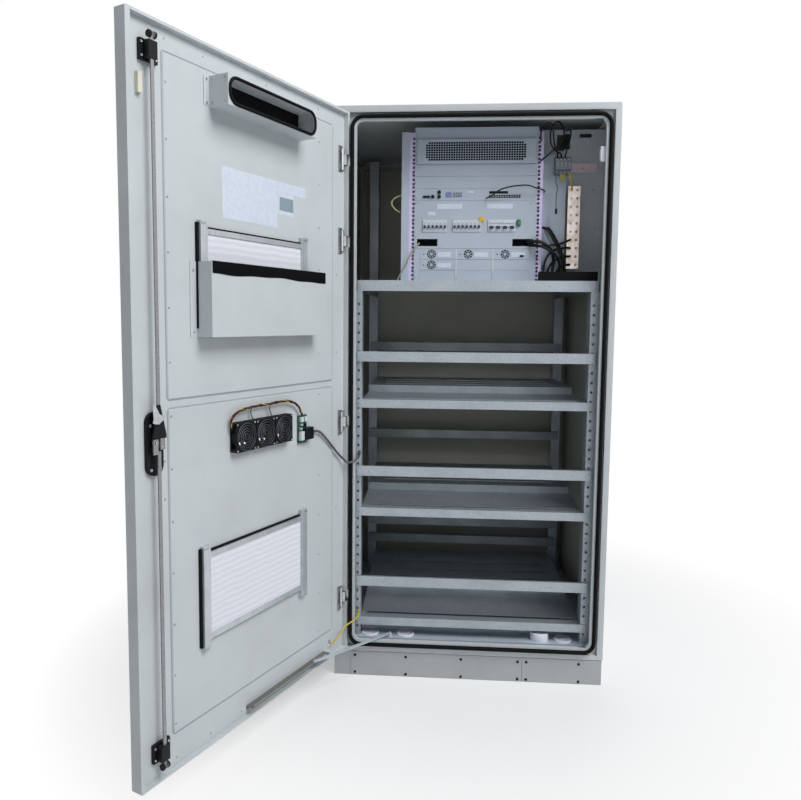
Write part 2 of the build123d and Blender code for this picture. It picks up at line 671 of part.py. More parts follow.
def rack_posts():
    """Two folded posts with square holes, three to each height unit."""
    z0 = BEAM_TOP + SEAT
    face, flange = RACK_X0 - RAIL_FACE, RACK_X0 - RAIL_FACE - POST_FLANGE
    left = [(flange, RACK_Y + 30), (flange, RACK_Y - POST_STEP), (face, RACK_Y - POST_STEP),
            (face, RACK_Y), (RACK_X0, RACK_Y), (RACK_X0, RACK_Y + POST_DEPTH)]
    right = [(RACK_X1, RACK_Y + POST_DEPTH), (RACK_X1, RACK_Y), (RACK_X1 + RAIL_FACE, RACK_Y),
             (RACK_X1 + RAIL_FACE, RACK_Y + POST_DEPTH)]
    posts = []
    for section, x in ((left, RACK_X0 - HOLE_INSET), (right, RACK_X1 + HOLE_INSET)):
        half = RACK_HOLE / 2
        heights = [RACK_BASE + UNIT * (i + share) for i in range(int((POST_TOP - RACK_BASE) / UNIT))
                   for share in (1 / 7, 1 / 2, 6 / 7)]
        holes = [block(x - half, x + half, RACK_Y - 1, RACK_Y + SHEET + 1, z - half, z + half)
                 for z in heights]
        posts.append(folded(section, SHEET, z0, POST_TOP) - holes)
    return group(*posts)


def ears(z0, z1):
    """A face plate that laps the two rack posts."""
    y1 = RACK_Y - SEAT
    return block(RACK_X0 - EAR, RACK_X1 + EAR, y1 - SHEET, y1, z0, z1)


def row(index):
    """The bottom of a height unit above the rectifier shelf."""
    return RACK_BASE + SUBRACK_HEIGHT + UNIT * index


def cell(column, level):
    """The low corner of a module's place in the rectifier shelf: x and z."""
    x0 = RACK_CENTRE - MODULE_PITCH * 1.5 + MODULE_GAP / 2
    return x0 + MODULE_PITCH * column, RACK_BASE + 2.0 + MODULE_RISE * (2 - level)


def rectifier_shelf():
    """A nine-cell housing, open at the front, with a lug on each rack post."""
    y0, y1 = RACK_Y - SEAT - SHEET, RACK_Y + EQUIPMENT_DEPTH
    z0, z1 = RACK_BASE, RACK_BASE + SUBRACK_HEIGHT - UNIT_GAP
    shelf = block(RACK_X0 + SIDE_GAP, RACK_X1 - SIDE_GAP, y0, y1, z0, z1) + ears(z0, z1)
    for column in range(3):
        for level in range(3):
            x, z = cell(column, level)
            shelf -= block(x, x + MODULE_PITCH - MODULE_GAP, y0 - 1, y1 - SHEET,
                           z, z + MODULE_RISE - MODULE_WALL)
    return shelf


def rectifier_modules():
    """Four plug-in rectifiers, each with a round fan grille in its face."""
    modules = []
    y0 = RACK_Y - SEAT - SHEET - 1.0
    for column, level in MODULES:
        x, z = cell(column, level)
        x0, x1 = x + SEAT, x + MODULE_PITCH - MODULE_GAP - SEAT
        z0, z1 = z + SEAT, z + MODULE_RISE - MODULE_WALL - SEAT
        body = block(x0, x1, y0, RACK_Y + EQUIPMENT_DEPTH - 10, z0, z1)
        gx, gz = x0 + GRILLE_EDGE, (z0 + z1) / 2
        well = rod_y(gx, gz, y0 - 1, y0 + 3, GRILLE_RADIUS) - rod_y(gx, gz, y0 - 1, y0 + 3, 5)
        for i in range(4):
            spoke = Box(2 * GRILLE_RADIUS + 2, 8, 1.6)
            well -= Pos(gx, y0, gz) * Rot(0, 45 * i + 20, 0) * spoke
        ring = rod_y(gx, gz, y0 - 1, y0 + 3, 12.2) - rod_y(gx, gz, y0 - 1, y0 + 3, 10.8)
        body -= well - ring
        body -= block(x0 + 10, x0 + 15, y0 - 1, y0 + 2, gz - 3, gz + 1)
        modules.append(body)
    return group(*modules)


def blank_panels():
    """Plain covers: a tall one at the top, two of one unit, and five over empty module cells."""
    panels = [blank(row(9) + UNIT_GAP / 2, row(10)), blank(row(6), row(7) - UNIT_GAP),
              blank(row(5), row(6) - UNIT_GAP)]
    y0 = RACK_Y - SEAT - SHEET
    for column in range(3):
        for level in range(3):
            if (column, level) in MODULES:
                continue
            x, z = cell(column, level)
            x1 = x + MODULE_PITCH - MODULE_GAP - SEAT
            z1 = z + MODULE_RISE - MODULE_WALL - SEAT
            cover = block(x + SEAT, x1, y0, y0 + 12, z + SEAT, z1)
            cover -= block(x + SEAT + SHEET, x1 - SHEET, y0 + SHEET, y0 + 13, z, z1 + 1)
            panels.append(cover)
    return group(*panels)


def blank(z0, z1):
    """A rack cover with its long edges folded back."""
    y1 = RACK_Y - SEAT
    panel = ears(z0, z1)
    for z in (z0, z1 - SHEET):
        panel += block(RACK_X0 + SIDE_GAP, RACK_X1 - SIDE_GAP, y1 - SHEET, y1 + 10, z, z + SHEET)
    return panel


def vent_panel():
    """A proud tray of two units with a perforated field whose corners are stepped."""
    z0, z1 = row(7), row(9) - UNIT_GAP
    y1 = RACK_Y - SEAT
    y0 = y1 - SHEET - VENT_PROUD
    x0, x1 = RACK_X0 + SIDE_GAP, RACK_X1 - SIDE_GAP
    tray = block(x0, x1, y0, y1, z0, z1) + ears(z0, z1)
    tray -= block(x0 + SHEET, x1 - SHEET, y0 + SHEET, y1 + 1, z0 + SHEET, z1 - SHEET)
    columns, rows = PERFORATION
    pitch_x, pitch_z = PERFORATION_PITCH
    hole_x, hole_z = PERFORATION_HOLE
    xc, zc = RACK_CENTRE, (z0 + z1) / 2
    holes = []
    for i in range(columns):
        for j in range(rows):
            if i in (0, columns - 1) and j in (0, rows - 1):
                continue
            x = xc + (i - (columns - 1) / 2) * pitch_x
            z = zc + (j - (rows - 1) / 2) * pitch_z
            holes.append(block(x - hole_x / 2, x + hole_x / 2, y0 - 1, y0 + SHEET + 1,
                               z - hole_z / 2, z + hole_z / 2))
    return tray - holes


def controller_unit():
    """A one-unit controller with its connectors, screen and keys on the face."""
    z0, z1 = row(4), row(5) - UNIT_GAP
    y1 = RACK_Y - SEAT
    y0 = y1 - SHEET
    unit = ears(z0, z1)
    unit += block(RACK_X0 + SIDE_GAP, RACK_X1 - SIDE_GAP, y1 - SHEET, RACK_Y + EQUIPMENT_DEPTH, z0, z1)
    zc = (z0 + z1) / 2
    unit += block(-186, -160, y0 - 4, y0, zc - 12, zc - 5)
    unit += rod_y(-150, zc - 8, y0 - 4, y0, 6)
    for z in (zc - 8, zc + 8):
        unit += rod_y(-126, z, y0 - 4, y0, 6)
    unit += block(-102, -78, y0 - 2, y0, zc - 11, zc + 9)
    for i in range(4):
        for j in range(2):
            x, z = -70 + 9 * i, zc - 6 + 10 * j
            unit += block(x - 3, x + 3, y0 - 2.5, y0, z - 3, z + 3)
    unit -= block(60, 176, y0 - 1, y0 + 8, zc - 14, zc - 2)
    unit -= block(60, 130, y0 - 1, y0 + 8, zc + 2, zc + 12)
    return unit


def breaker_places():
    """The left edge and width of every breaker: thirteen small ones, then the main one."""
    places = [(BREAKERS_LEFT + BREAKER_PITCH * i, BREAKER_PITCH - 0.4) for i in range(6)]
    places += [(BREAKERS_RIGHT + BREAKER_PITCH * i, BREAKER_PITCH - 0.4) for i in range(7)]
    places.append((MAIN_BREAKER, MAIN_POLES * MAIN_POLE))
    return places


def distribution_panel():
    """A four-unit box: windows for the breakers, two cable slots and the mounting rail inside."""
    z0, z1 = row(0), row(4) - UNIT_GAP
    y1 = RACK_Y - SEAT
    x0, x1 = RACK_X0 + SIDE_GAP, RACK_X1 - SIDE_GAP
    back = RACK_Y + EQUIPMENT_DEPTH
    box = block(x0, x1, y1 - SHEET, back, z0, z1) + ears(z0, z1)
    box -= block(x0 + SHEET, x1 - SHEET, y1, back - SHEET, z0 + SHEET, z1 - SHEET)
    zb = row(0) + BREAKER_CENTRE
    windows = ((BREAKERS_LEFT, 6 * BREAKER_PITCH), (BREAKERS_RIGHT, 7 * BREAKER_PITCH),
               (MAIN_BREAKER, MAIN_POLES * MAIN_POLE))
    for x, width in windows:
        box -= block(x - 0.7, x + width + 0.3, y1 - SHEET - 1, y1 + 1, zb - NOSE / 2 - 0.7, zb + NOSE / 2 + 0.7)
    for x in (x0 + 1, x1 - 1 - SLOT_LENGTH):
        box -= block(x, x + SLOT_LENGTH, y1 - SHEET - 1, y1 + 1, z0 + 8, z0 + 8 + SLOT_HEIGHT)
    rail = RACK_Y + BREAKER_DEPTH
    box += block(x0 + 1, x1 - 1, rail, rail + 1.5, zb - 17.5, zb + 17.5)
    return box


def breakers():
    """Breakers on the rail behind the windows, their noses standing through the face."""
    solids = []
    zb = row(0) + BREAKER_CENTRE
    nose_front = RACK_Y - SEAT - SHEET - NOSE_PROUD
    for x, width in breaker_places():
        body = block(x, x + width, RACK_Y + 3, RACK_Y + BREAKER_DEPTH - SEAT, zb - 39, zb + 39)
        body += block(x, x + width, nose_front, RACK_Y + 4, zb - NOSE / 2, zb + NOSE / 2)
        if x == MAIN_BREAKER:
            well = HANDLE_HUB + 0.5
            body -= rod_x(RACK_Y + 1, zb, x + 3, x + width - 3, well)
            body -= block(x + 3, x + width - 3, nose_front - 1, RACK_Y + 1, zb - well, zb + well)
            body -= rod_x(RACK_Y + 1, zb, x + 0.8, x + width - 0.8, HANDLE_PIN + RUNNING)
        else:
            toggle = block(x + 4, x + width - 4, nose_front - 7, nose_front + 1, zb - 3, zb + 3)
            body += Pos(0, 0, -4) * toggle
        solids.append(body)
    return group(*solids)


def main_breaker_handle():
    """The rocking bar that joins the main breaker's four toggles, down when off."""
    zb = row(0) + BREAKER_CENTRE
    x0, x1 = MAIN_BREAKER + 3.5, MAIN_BREAKER + MAIN_POLES * MAIN_POLE - 3.5
    hub = rod_x(0, 0, x0, x1, HANDLE_HUB) + rod_x(0, 0, x0 - 2.2, x1 + 2.2, HANDLE_PIN)
    lever = block(x0, x1, -HANDLE_REACH, 0, -2.5, 2.5)
    for i in range(1, MAIN_POLES):
        x = MAIN_BREAKER + MAIN_POLE * i
        lever -= block(x - 3, x + 3, -HANDLE_REACH - 1, -HANDLE_HUB - 4, -1, 6)
    handle = hub + lever
    return Pos(0, RACK_Y + 1, zb) * Rot(HANDLE_REST, 0, 0) * handle


# Right-hand equipment


def equipment_plate():
    """A grey plate bent off the right-hand rack post."""
    x0, y0 = RACK_X1 + RAIL_FACE + SEAT, RACK_Y + 30
    section = [(x0, y0 + 60), (x0, y0), (EQUIPMENT_X1, y0), (EQUIPMENT_X1, y0 + 18)]
    return folded(section, SHEET, EQUIPMENT_Z[0], EQUIPMENT_Z[1])


def wall_plate():
    """An upright plate beside the side wall, with a window, a slot and a foot on the deck."""
    y0, x1 = FRONT + WALL_PLATE_Y, RIGHT - SHEET - SEAT
    x0 = EQUIPMENT_X1 + SEAT
    plate = block(x0, x1, y0, y0 + SHEET, WALL_PLATE_Z0, POST_TOP + 28)
    plate += block(x1 - SHEET, x1, y0, y0 + 25, WALL_PLATE_Z0, POST_TOP + 28)
    plate += block(x0, BEAM_X1, y0, y0 + 25, WALL_PLATE_Z0, WALL_PLATE_Z0 + SHEET)
    plate -= block(x0 - 1, x0 + 21.7, y0 - 1, y0 + 3, POST_TOP - 45, POST_TOP + 13)
    plate -= block(RIGHT - 96, RIGHT - 51, y0 - 1, y0 + 3, POST_TOP - 2, POST_TOP + 12)
    return plate


def ground_bar():
    """A copper bar on two stand-offs with two rows of ten terminal screws."""
    y1 = FRONT + WALL_PLATE_Y - BAR_STANDOFF
    y0 = y1 - BAR_THICK
    x0, x1 = BAR_X
    z0, z1 = BAR_Z
    bar = block(x0, x1, y0, y1, z0, z1)
    count = 10
    pitch = (z1 - z0) / count
    for x in (x0 + 12, x1 - 12):
        for i in range(count):
            z = z0 + pitch * (i + 0.5)
            bar += rod_y(x, z, y0 - 4.5, y0, 6)
    for z in (z0 + pitch, z1 - pitch):
        bar += rod_y((x0 + x1) / 2, z, y1, FRONT + WALL_PLATE_Y - SEAT, 7)
    return bar


def din_rail():
    """A short top-hat rail held on the wall plate."""
    y1 = FRONT + WALL_PLATE_Y - SEAT
    x0, x1, z = EQUIPMENT_X1 + 15, RIGHT - 29, BEAM_TOP + 438
    rail = block(x0, x1, y1 - 1.2, y1, z - 12, z + 12)
    for side in (-1, 1):
        rail += block(x0, x1, y1 - 7.5, y1, z + side * 12 - 0.6, z + side * 12 + 0.6)
        rail += block(x0, x1, y1 - 7.5, y1 - 6.3, min(z + side * 12, z + side * 17.5),
                      max(z + side * 12, z + side * 17.5))
    return rail


def terminal_block():
    """A surge protector block on the grey plate, with two rows of clamps in its face."""
    y1 = RACK_Y + 30 - SEAT
    x0, x1 = EQUIPMENT_X1 - 46, EQUIPMENT_X1 + 11
    z0, z1 = BEAM_TOP + 398, BEAM_TOP + 461
    body = block(x0, x1, y1 - 44, y1, z0 + 14, z1 - 14) + block(x0, x1, y1 - 26, y1, z0, z1)
    for i in range(4):
        x = x0 + 7 + 14.3 * i
        for z in (z0 + 8, z1 - 8):
            body -= rod_y(x, z, y1 - 27, y1 - 16, 3.5)
        body -= block(x - 3, x + 3, y1 - 45, y1 - 41, z0 + 24, z1 - 24)
    return body


def wiring():
    """Fixed leads between the rack, the plate and the floor of the equipment space."""
    runs = []
    for points, diameter in FIXED_LEADS:
        runs.append(cable(points, diameter))
    runs[-1] += block(304, 312, -308, -300, 1740, 1760)
    return group(*runs)


def foam_strip():
    """A length of black foam laid on the deck beside the rack."""
    y0 = FRONT + 60
    return block(RACK_X1 + 8, RIGHT - 51, y0, y0 + 30, BEAM_TOP + SEAT, BEAM_TOP + SEAT + 34)


def door_sensor():
    """The switch that feels the closed door, on the inner side of the rain lip."""
    x1 = LIP_X1 - LIP_WIDTH - SEAT
    body = block(x1 - SENSOR[0], x1, FRONT + 3, FRONT + 18, SENSOR_Z, SENSOR_Z + SENSOR[2])
    body += block(x1 - SENSOR[0] - 2.5, x1 - SENSOR[0], FRONT + 6, FRONT + 15,
                  SENSOR_Z + 8, SENSOR_Z + SENSOR[2] - 8)
    return body


# Hinges


def frame_hinge_leaves():
    """Fixed halves: a flange on the jamb, an arm, the middle knuckle and the pin."""
    leaves = []
    x, y = PIVOT_X, PIVOT_Y
    jamb = FRONT + JAMB_SETBACK - SEAT
    for z in HINGE_HEIGHTS:
        arm = block(x + BRACKET_NEAR, x + BRACKET_FAR, y, jamb, z - KNUCKLE_HALF, z + KNUCKLE_HALF)
        flange = block(x + BRACKET_NEAR, x + FLANGE_REACH, jamb - FLANGE_THICK, jamb,
                       z - LEAF_HALF, z + LEAF_HALF)
        knuckle = rod(x, y, z - KNUCKLE_HALF, z + KNUCKLE_HALF, HINGE_KNUCKLE)
        pin = rod(x, y, z - LEAF_END, z + LEAF_END, HINGE_PIN)
        leaves.append(arm + flange + knuckle + pin)
    return group(*leaves)


def door_hinge_leaves():
    """Moving halves: a C-shaped leaf on the liner with a knuckle above and below."""
    leaves = []
    x, y = HINGE_IN, -HINGE_BACK
    base = LINER + SEAT
    for z in HINGE_HEIGHTS:
        leaf = block(x, NOTCH_WIDTH + LEAF_REACH, base, base + FLANGE_THICK, z - LEAF_HALF, z + LEAF_HALF)
        leaf -= block(x - 1, NOTCH_WIDTH + 1, base - 1, base + 9, z - NOTCH_HALF, z + NOTCH_HALF)
        for side in (-1, 1):
            z0 = z + side * (KNUCKLE_HALF + LEAF_GAP)
            z1 = z0 + side * LEAF_KNUCKLE
            low, high = min(z0, z1), max(z0, z1)
            leaf += block(x, NOTCH_WIDTH + 2, base, base + FLANGE_THICK, low, high)
            leaf += rod(x, y, low, high, HINGE_KNUCKLE)
        leaf -= rod(x, y, z - LEAF_HALF - 1, z + LEAF_HALF + 1, HINGE_PIN + RUNNING)
        leaves.append(leaf)
    return on_door(group(*leaves))


# Door


def rim(inset, off0, off1):
    """A block inside the door's outline by one inset for each edge: hinge, latch, top, sill."""
    hinge, latch, top, sill = inset
    return block(hinge, DOOR_WIDTH - latch, off0, off1, DOOR_Z0 + sill, DOOR_Z1 - top)


def hinge_notches(half, depth0, depth1):
    return [block(-1, NOTCH_WIDTH, depth0, depth1, z - half, z + half) for z in HINGE_HEIGHTS]


def louvres(s0, s1, z0, z1):
    """Air slots through the outer skin, in rows, with a bar between two columns."""
    count = int((z1 - z0) / LOUVRE_PITCH)
    middle = (s0 + s1) / 2
    slots = []
    for i in range(count):
        z = z0 + LOUVRE_PITCH * (i + 0.5)
        for a, b in ((s0, middle - 8), (middle + 8, s1)):
            slots.append(block(a, b, SKIN - 1, SKIN_INNER + 1, z - LOUVRE_SLOT / 2, z + LOUVRE_SLOT / 2))
    return slots


def door_shell():
    """Outer skin, its folded edges and the rim lips that turn back down to the liner."""
    t = DOOR_SHEET
    lips = (RIM_HINGE, RIM_LATCH, RIM_TOP, RIM_SILL)
    walls = tuple(value - t for value in lips)
    hem = LINER + SEAT
    shell = block(0, DOOR_WIDTH, SKIN, 0, DOOR_Z0, DOOR_Z1)
    vertical = shell.edges().filter_by(Axis.Y)
    shell = fillet(vertical, DOOR_CORNER)
    shell -= rim((t, t, t, t), SKIN_INNER, hem)
    shell -= rim(lips, hem - 1, 1)
    shell -= rim((t, t, t, t), hem - 1, -SHEET) - rim(walls, hem - 2, 1)
    shell -= hinge_notches(KNUCKLE_HALF + 2, -NOTCH_DEPTH, 1)
    shell -= louvres(300, 690, UPPER_FILTER[2] + 60, UPPER_FILTER[3] - 60)
    shell -= louvres(300, 690, LOWER_FILTER[2] + 60, LOWER_FILTER[3] - 60)
    shell -= louvres(FAN_S - FAN_PITCH * 1.4, FAN_S + FAN_PITCH * 1.4, FAN_Z - 40, FAN_Z + 40)
    shell -= louvres(HOOD[0] + 20, HOOD[1] - 20, HOOD[2] + 12, HOOD[3] - 12)
    shell -= block(LATCH_S - NECK[0] / 2 - SEAT, LATCH_S + NECK[0] / 2 + SEAT, SKIN - 1, SKIN_INNER + 1,
                   LATCH_Z - NECK[1] / 2 - SEAT, LATCH_Z + NECK[1] / 2 + SEAT)
    return on_door(shell)


def door_inner_panel():
    """The liner, with two raised fields and the openings behind filters, fans and duct."""
    t = DOOR_SHEET
    edge = t + SEAT
    panel = rim((edge, edge, edge, edge), LINER - t, LINER)
    fields = ((DOOR_Z0 + PAD_SILL, CROSSBAR_Z), (CROSSBAR_Z + CROSSBAR_WIDTH, DOOR_Z1 - PAD_TOP))
    for z0, z1 in fields:
        raised = block(PAD_HINGE, DOOR_WIDTH - PAD_LATCH, LINER - t, PAD, z0, z1)
        top = raised.faces().sort_by(Axis.Y)[-1]
        raised = chamfer(top.edges(), PAD_RISE * 0.9)
        panel += raised
        panel -= block(PAD_HINGE + 4, DOOR_WIDTH - PAD_LATCH - 4, LINER - t - 1, PAD - t, z0 + 4, z1 - 4)
    panel -= hinge_notches(NOTCH_HALF, LINER - 9, LINER + 9)
    for s0, s1, z0, z1 in (UPPER_FILTER, LOWER_FILTER):
        panel -= block(s0 + 50, s1 - 50, LINER - 9, PAD + 1, z0 + 50, z1 - 50)
    for i in (-1, 0, 1):
        panel -= rod_y(FAN_S + FAN_PITCH * i, FAN_Z, LINER - 9, PAD + 1, FAN_BORE - 1)
    panel -= block(HOOD[0] + 8, HOOD[1] - 8, LINER - 9, PAD + 1, HOOD[2] + 8, HOOD[3] - 8)
    panel -= block(LATCH_S - NECK[0] / 2 - SEAT, LATCH_S + NECK[0] / 2 + SEAT, LINER - 9, PAD + 1,
                   LATCH_Z - NECK[1] / 2 - SEAT, LATCH_Z + NECK[1] / 2 + SEAT)
    return on_door(panel)


def air_duct_hood():
    """The duct that meets the equipment when the door is shut."""
    s0, s1, z0, z1 = HOOD
    base, mouth = PAD + SEAT, PAD + HOOD_DEPTH
    hood = block(s0, s1, base, mouth, z0, z1)
    hood -= block(s0 + SHEET, s1 - SHEET, base - 1, mouth - SHEET, z0 + SHEET, z1 - SHEET)
    hood -= rounded(s0 + MOUTH_EDGE, s1 - MOUTH_EDGE, z0 + MOUTH_EDGE, z1 - MOUTH_EDGE, MOUTH_RADIUS - 6,
                    mouth - SHEET - 1, mouth + 1)
    hood += block(s1 - 1, s1 + 21, base, base + SHEET, z0 + 4, z1 - 4)
    return on_door(hood)


def duct_gasket():
    s0, s1, z0, z1 = HOOD
    y0 = PAD + HOOD_DEPTH + SEAT
    y1 = y0 + GASKET_PROUD
    ring = rounded(s0 + 2, s1 - 2, z0 + 2, z1 - 2, MOUTH_RADIUS + 6, y0, y1)
    ring -= rounded(s0 + MOUTH_EDGE, s1 - MOUTH_EDGE, z0 + MOUTH_EDGE, z1 - MOUTH_EDGE, MOUTH_RADIUS - 6,
                    y0 - 1, y1 + 1)
    return on_door(ring)


def document_box():
    """A sheet pocket for papers, open at the top, that stands over the upper filter."""
    s0, s1, z0, z1 = PAPER_BOX
    base, front = PAD + SEAT, PAD + BOX_DEPTH
    back = FILTER_FRONT + SEAT
    box = block(s0, s1, base, front, z0, z1)
    box -= block(s0 + SHEET, s1 - SHEET, back + SHEET, front - SHEET, z0 + SHEET, z1 + 1)
    box -= block(s0 + SHEET, s1 - SHEET, base - 1, back, z0 - 1, z1 + 1)
    box += block(s1 - 1, s1 + 25, base, base + SHEET, z0, z1)
    return on_door(box)


def document_box_trim():
    """A soft black edging folded over the pocket's front wall."""
    s0, s1, z0, z1 = PAPER_BOX
    front = PAD + BOX_DEPTH
    trim = block(s0 + SHEET + SEAT, s1 - SHEET - SEAT, front - SHEET - 1.8, front + 1.5, z1 - TRIM_HEIGHT, z1 + 2)
    trim -= block(s0, s1, front - SHEET - SEAT, front + SEAT, z1 - TRIM_HEIGHT - 1, z1 + SEAT)
    return on_door(trim)


def filter_frames():
    """Two holders, each with a rail up its two sides and two lower rails across."""
    frames = []
    for s0, s1, z0, z1 in (UPPER_FILTER, LOWER_FILTER):
        base, face = PAD + SEAT, FILTER_FRONT - 3
        frame = block(s0, s1, base, face, z1 - FILTER_HEAD[0], z1 - FILTER_HEAD[1])
        frame += block(s0, s1, base, face, z0 + FILTER_FOOT[0], z0 + FILTER_FOOT[1])
        frame += block(s0, s0 + FILTER_EDGE, base, face, z0, z1)
        frame += block(s1 - FILTER_EDGE, s1, base, face, z0, z1)
        for a, b in ((s0, s0 + FILTER_GRIP), (s1 - FILTER_GRIP, s1)):
            frame += block(a, b, base, FILTER_FRONT, z0, z1)
        frames.append(frame)
    return on_door(group(*frames))


def filter_media():
    """The white filter mats that sit in the two holders."""
    mats = []
    for s0, s1, z0, z1 in (UPPER_FILTER, LOWER_FILTER):
        mats.append(block(s0 + FILTER_EDGE + SEAT, s1 - FILTER_EDGE - SEAT, PAD + SEAT, FILTER_FRONT - 6,
                          z0 + FILTER_FOOT[1] + SEAT, z1 - FILTER_HEAD[0] - SEAT))
    return on_door(group(*mats))


# Fans


def fan_housings():
    """Three square fan bodies with bored boss, struts and a ring guard."""
    fans = []
    base = PAD + SEAT
    front = base + FAN_DEPTH
    for i in (-1, 0, 1):
        s = FAN_S + FAN_PITCH * i
        half = FAN_SIZE / 2
        fan = block(s - half, s + half, base, front, FAN_Z - half, FAN_Z + half)
        fan = fillet(fan.edges().filter_by(Axis.Y), 5)
        fan -= rod_y(s, FAN_Z, base - 1, front + 1, FAN_BORE)
        waist = block(s - half - 1, s + half + 1, base + 4, front - 4, FAN_Z - half - 1, FAN_Z + half + 1)
        waist -= rod_y(s, FAN_Z, base, front, FAN_BORE + 2.5)
        for dx in (-1, 1):
            for dz in (-1, 1):
                waist -= rod_y(s + dx * (half - 5), FAN_Z + dz * (half - 5), base, front, 6)
        fan -= waist
        fan += rod_y(s, FAN_Z, base, base + 4, FAN_HUB)
        for j in range(3):
            strut = block(-2.5, 2.5, base, base + 4, FAN_HUB - 3, FAN_BORE + 1)
            fan += Pos(s, 0, FAN_Z) * Rot(0, 120 * j + 30, 0) * strut
        fan -= rod_y(s, FAN_Z, base - 1, base + 5, FAN_SHAFT + RUNNING)
        fan += fan_guard(s, front)
        fans.append(fan)
    return on_door(group(*fans))


def fan_guard(s, front):
    """Concentric rings and four spokes over a fan's mouth."""
    guard = rod_y(s, FAN_Z, front + 0.8, front + 2.4, 9)
    for radius in (17.0, 25.0, 33.0, 41.0):
        guard += rod_y(s, FAN_Z, front + 0.8, front + 2.4, radius) - rod_y(
            s, FAN_Z, front, front + 3, radius - 1.8)
    for j in range(4):
        spoke = block(-1, 1, front, front + 1.8, 0, FAN_SIZE / 2 * 1.22)
        guard += Pos(s, 0, FAN_Z) * Rot(0, 90 * j + 45, 0) * spoke
    return guard


def fan_rotor(index):
    """A hub with seven raked blades and the shaft that runs in the housing's boss."""
    s = FAN_S + FAN_PITCH * index
    base = PAD + SEAT
    y0, y1 = base + 5, base + FAN_DEPTH - 2
    hub = rod_y(0, 0, y0, y1, FAN_HUB) + rod_y(0, 0, base + 0.5, y0 + 1, FAN_SHAFT)
    blades = []
    middle = (y0 + y1) / 2
    for i in range(7):
        length = FAN_BORE - 1.5 - FAN_HUB + 3
        blade = Pos(0, middle, FAN_HUB - 3 + length / 2) * Rot(0, 0, BLADE_RAKE) * Box(1.8, 17, length)
        blades.append(Rot(0, 360 / 7 * i, 0) * blade)
    rotor = hub
    for blade in blades:
        rotor += blade
    rotor &= rod_y(0, 0, base, y1 + 1, FAN_BORE - 1.2)
    return on_door(Pos(s, 0, FAN_Z) * rotor)


def fan_board():
    """The fans' small circuit board on four pillars, with its black lead connector."""
    s0, s1, z0, z1 = FAN_BOARD
    base = PAD + SEAT
    board = block(s0, s1, base + 5, base + 6.6, z0, z1)
    for s in (s0 + 5, s1 - 5):
        for z in (z0 + 5, z1 - 5):
            board += rod_y(s, z, base, base + 6, 3)
    board += block(s0 - 20, s0 + 22, base + 5, base + 22, z0 + 11, z0 + 51)
    board += block(s0 + 28, s1 - 4, base + 6, base + 18, z0 + 12, z0 + 40)
    board += block(s0 + 6, s1 - 8, base + 6, base + 14, z1 - 22, z1 - 8)
    return on_door(board)


def fan_harness():
    """The bound leads that run above the fans and drop to each of them."""
    trunk = cable([(s, HARNESS_OFF, z) for s, z in HARNESS], 7.0)
    solids = [trunk]
    for s, z, s_end in BRANCHES:
        solids.append(cable([(s, HARNESS_OFF, z - 4.2), (s + 6, HARNESS_OFF - 3, z - 16),
                             (s_end, HARNESS_OFF - 5, FAN_Z + FAN_SIZE / 2 + 1)], 3.5))
    return on_door(group(*solids))


# Latch


def latch_housing():
    """Inner and outer bodies of the lock joined through the door, bored for the spindle."""
    half_w, half_h = HOUSING[0] / 2, HOUSING[1] / 2
    inner = rounded(LATCH_S - half_w, LATCH_S + half_w, LATCH_Z - half_h, LATCH_Z + half_h, half_w - 1,
                    LINER + SEAT, HOUSING_OFF)
    neck = block(LATCH_S - NECK[0] / 2, LATCH_S + NECK[0] / 2, SKIN - 1, LINER + 1,
                 LATCH_Z - NECK[1] / 2, LATCH_Z + NECK[1] / 2)
    outer = rounded(LATCH_S - half_w, LATCH_S + half_w, LATCH_Z - half_h - 55, LATCH_Z + half_h, 12,
                    ESCUTCHEON, SKIN - SEAT)
    boss = rod_y(LATCH_S, LATCH_Z, HOUSING_OFF - 1, CAM_OFF - SEAT, 13)
    housing = inner + neck + outer + boss
    housing -= rod_y(LATCH_S, LATCH_Z, ESCUTCHEON - 1, CAM_OFF + 1, SPINDLE + RUNNING)
    return on_door(housing)


def cam_pin(side):
    """Where the rod pin on one side of the cam stands at rest: offsets along s and z."""
    rest = radians(CAM_SWEEP / 2)
    return side * CAM_ARM * cos(rest), side * CAM_ARM * sin(rest)


def latch_cam():
    """The spindle with its rod cam inside and the handle's eye outside."""
    cam = rod_y(0, 0, HANDLE_EYE + 5, CAM_OFF + CAM_THICK, SPINDLE)
    cam += rod_y(0, 0, CAM_OFF, CAM_OFF + CAM_THICK, 9)
    for side in (-1, 1):
        x, z = cam_pin(side)
        cam += rod_y(x, z, CAM_OFF, CAM_OFF + CAM_THICK, PIN_RADIUS + 2.5)
        cam += rod_y(x, z, CAM_OFF + 1, ROD_OFF + ROD_THICK / 2 + 1, PIN_RADIUS)
    cam += block(-EYE_HALF, EYE_HALF, HANDLE_EYE - 6, HANDLE_EYE + 6, -8, 8)
    cam -= rod_x(HANDLE_EYE, 0, -EYE_HALF - 1, EYE_HALF + 1, HANDLE_AXLE + RUNNING)
    return on_door(Pos(LATCH_S, 0, LATCH_Z) * cam)


def swing_handle():
    """The outside lever: a fork on the spindle's eye and a long tapered grip."""
    lever = block(-HANDLE_HALF, HANDLE_HALF, HANDLE_EYE - 6, HANDLE_EYE + 5, -HANDLE_LENGTH, 8)
    lever = fillet(lever.edges().filter_by(Axis.Y), 6)
    gap = EYE_HALF + SEAT
    lever -= block(-gap, gap, HANDLE_EYE - 7, HANDLE_EYE + 7, -11, 10)
    lever += rod_x(HANDLE_EYE, 0, -gap - 2, gap + 2, HANDLE_AXLE)
    return on_door(Pos(LATCH_S, 0, LATCH_Z) * lever)


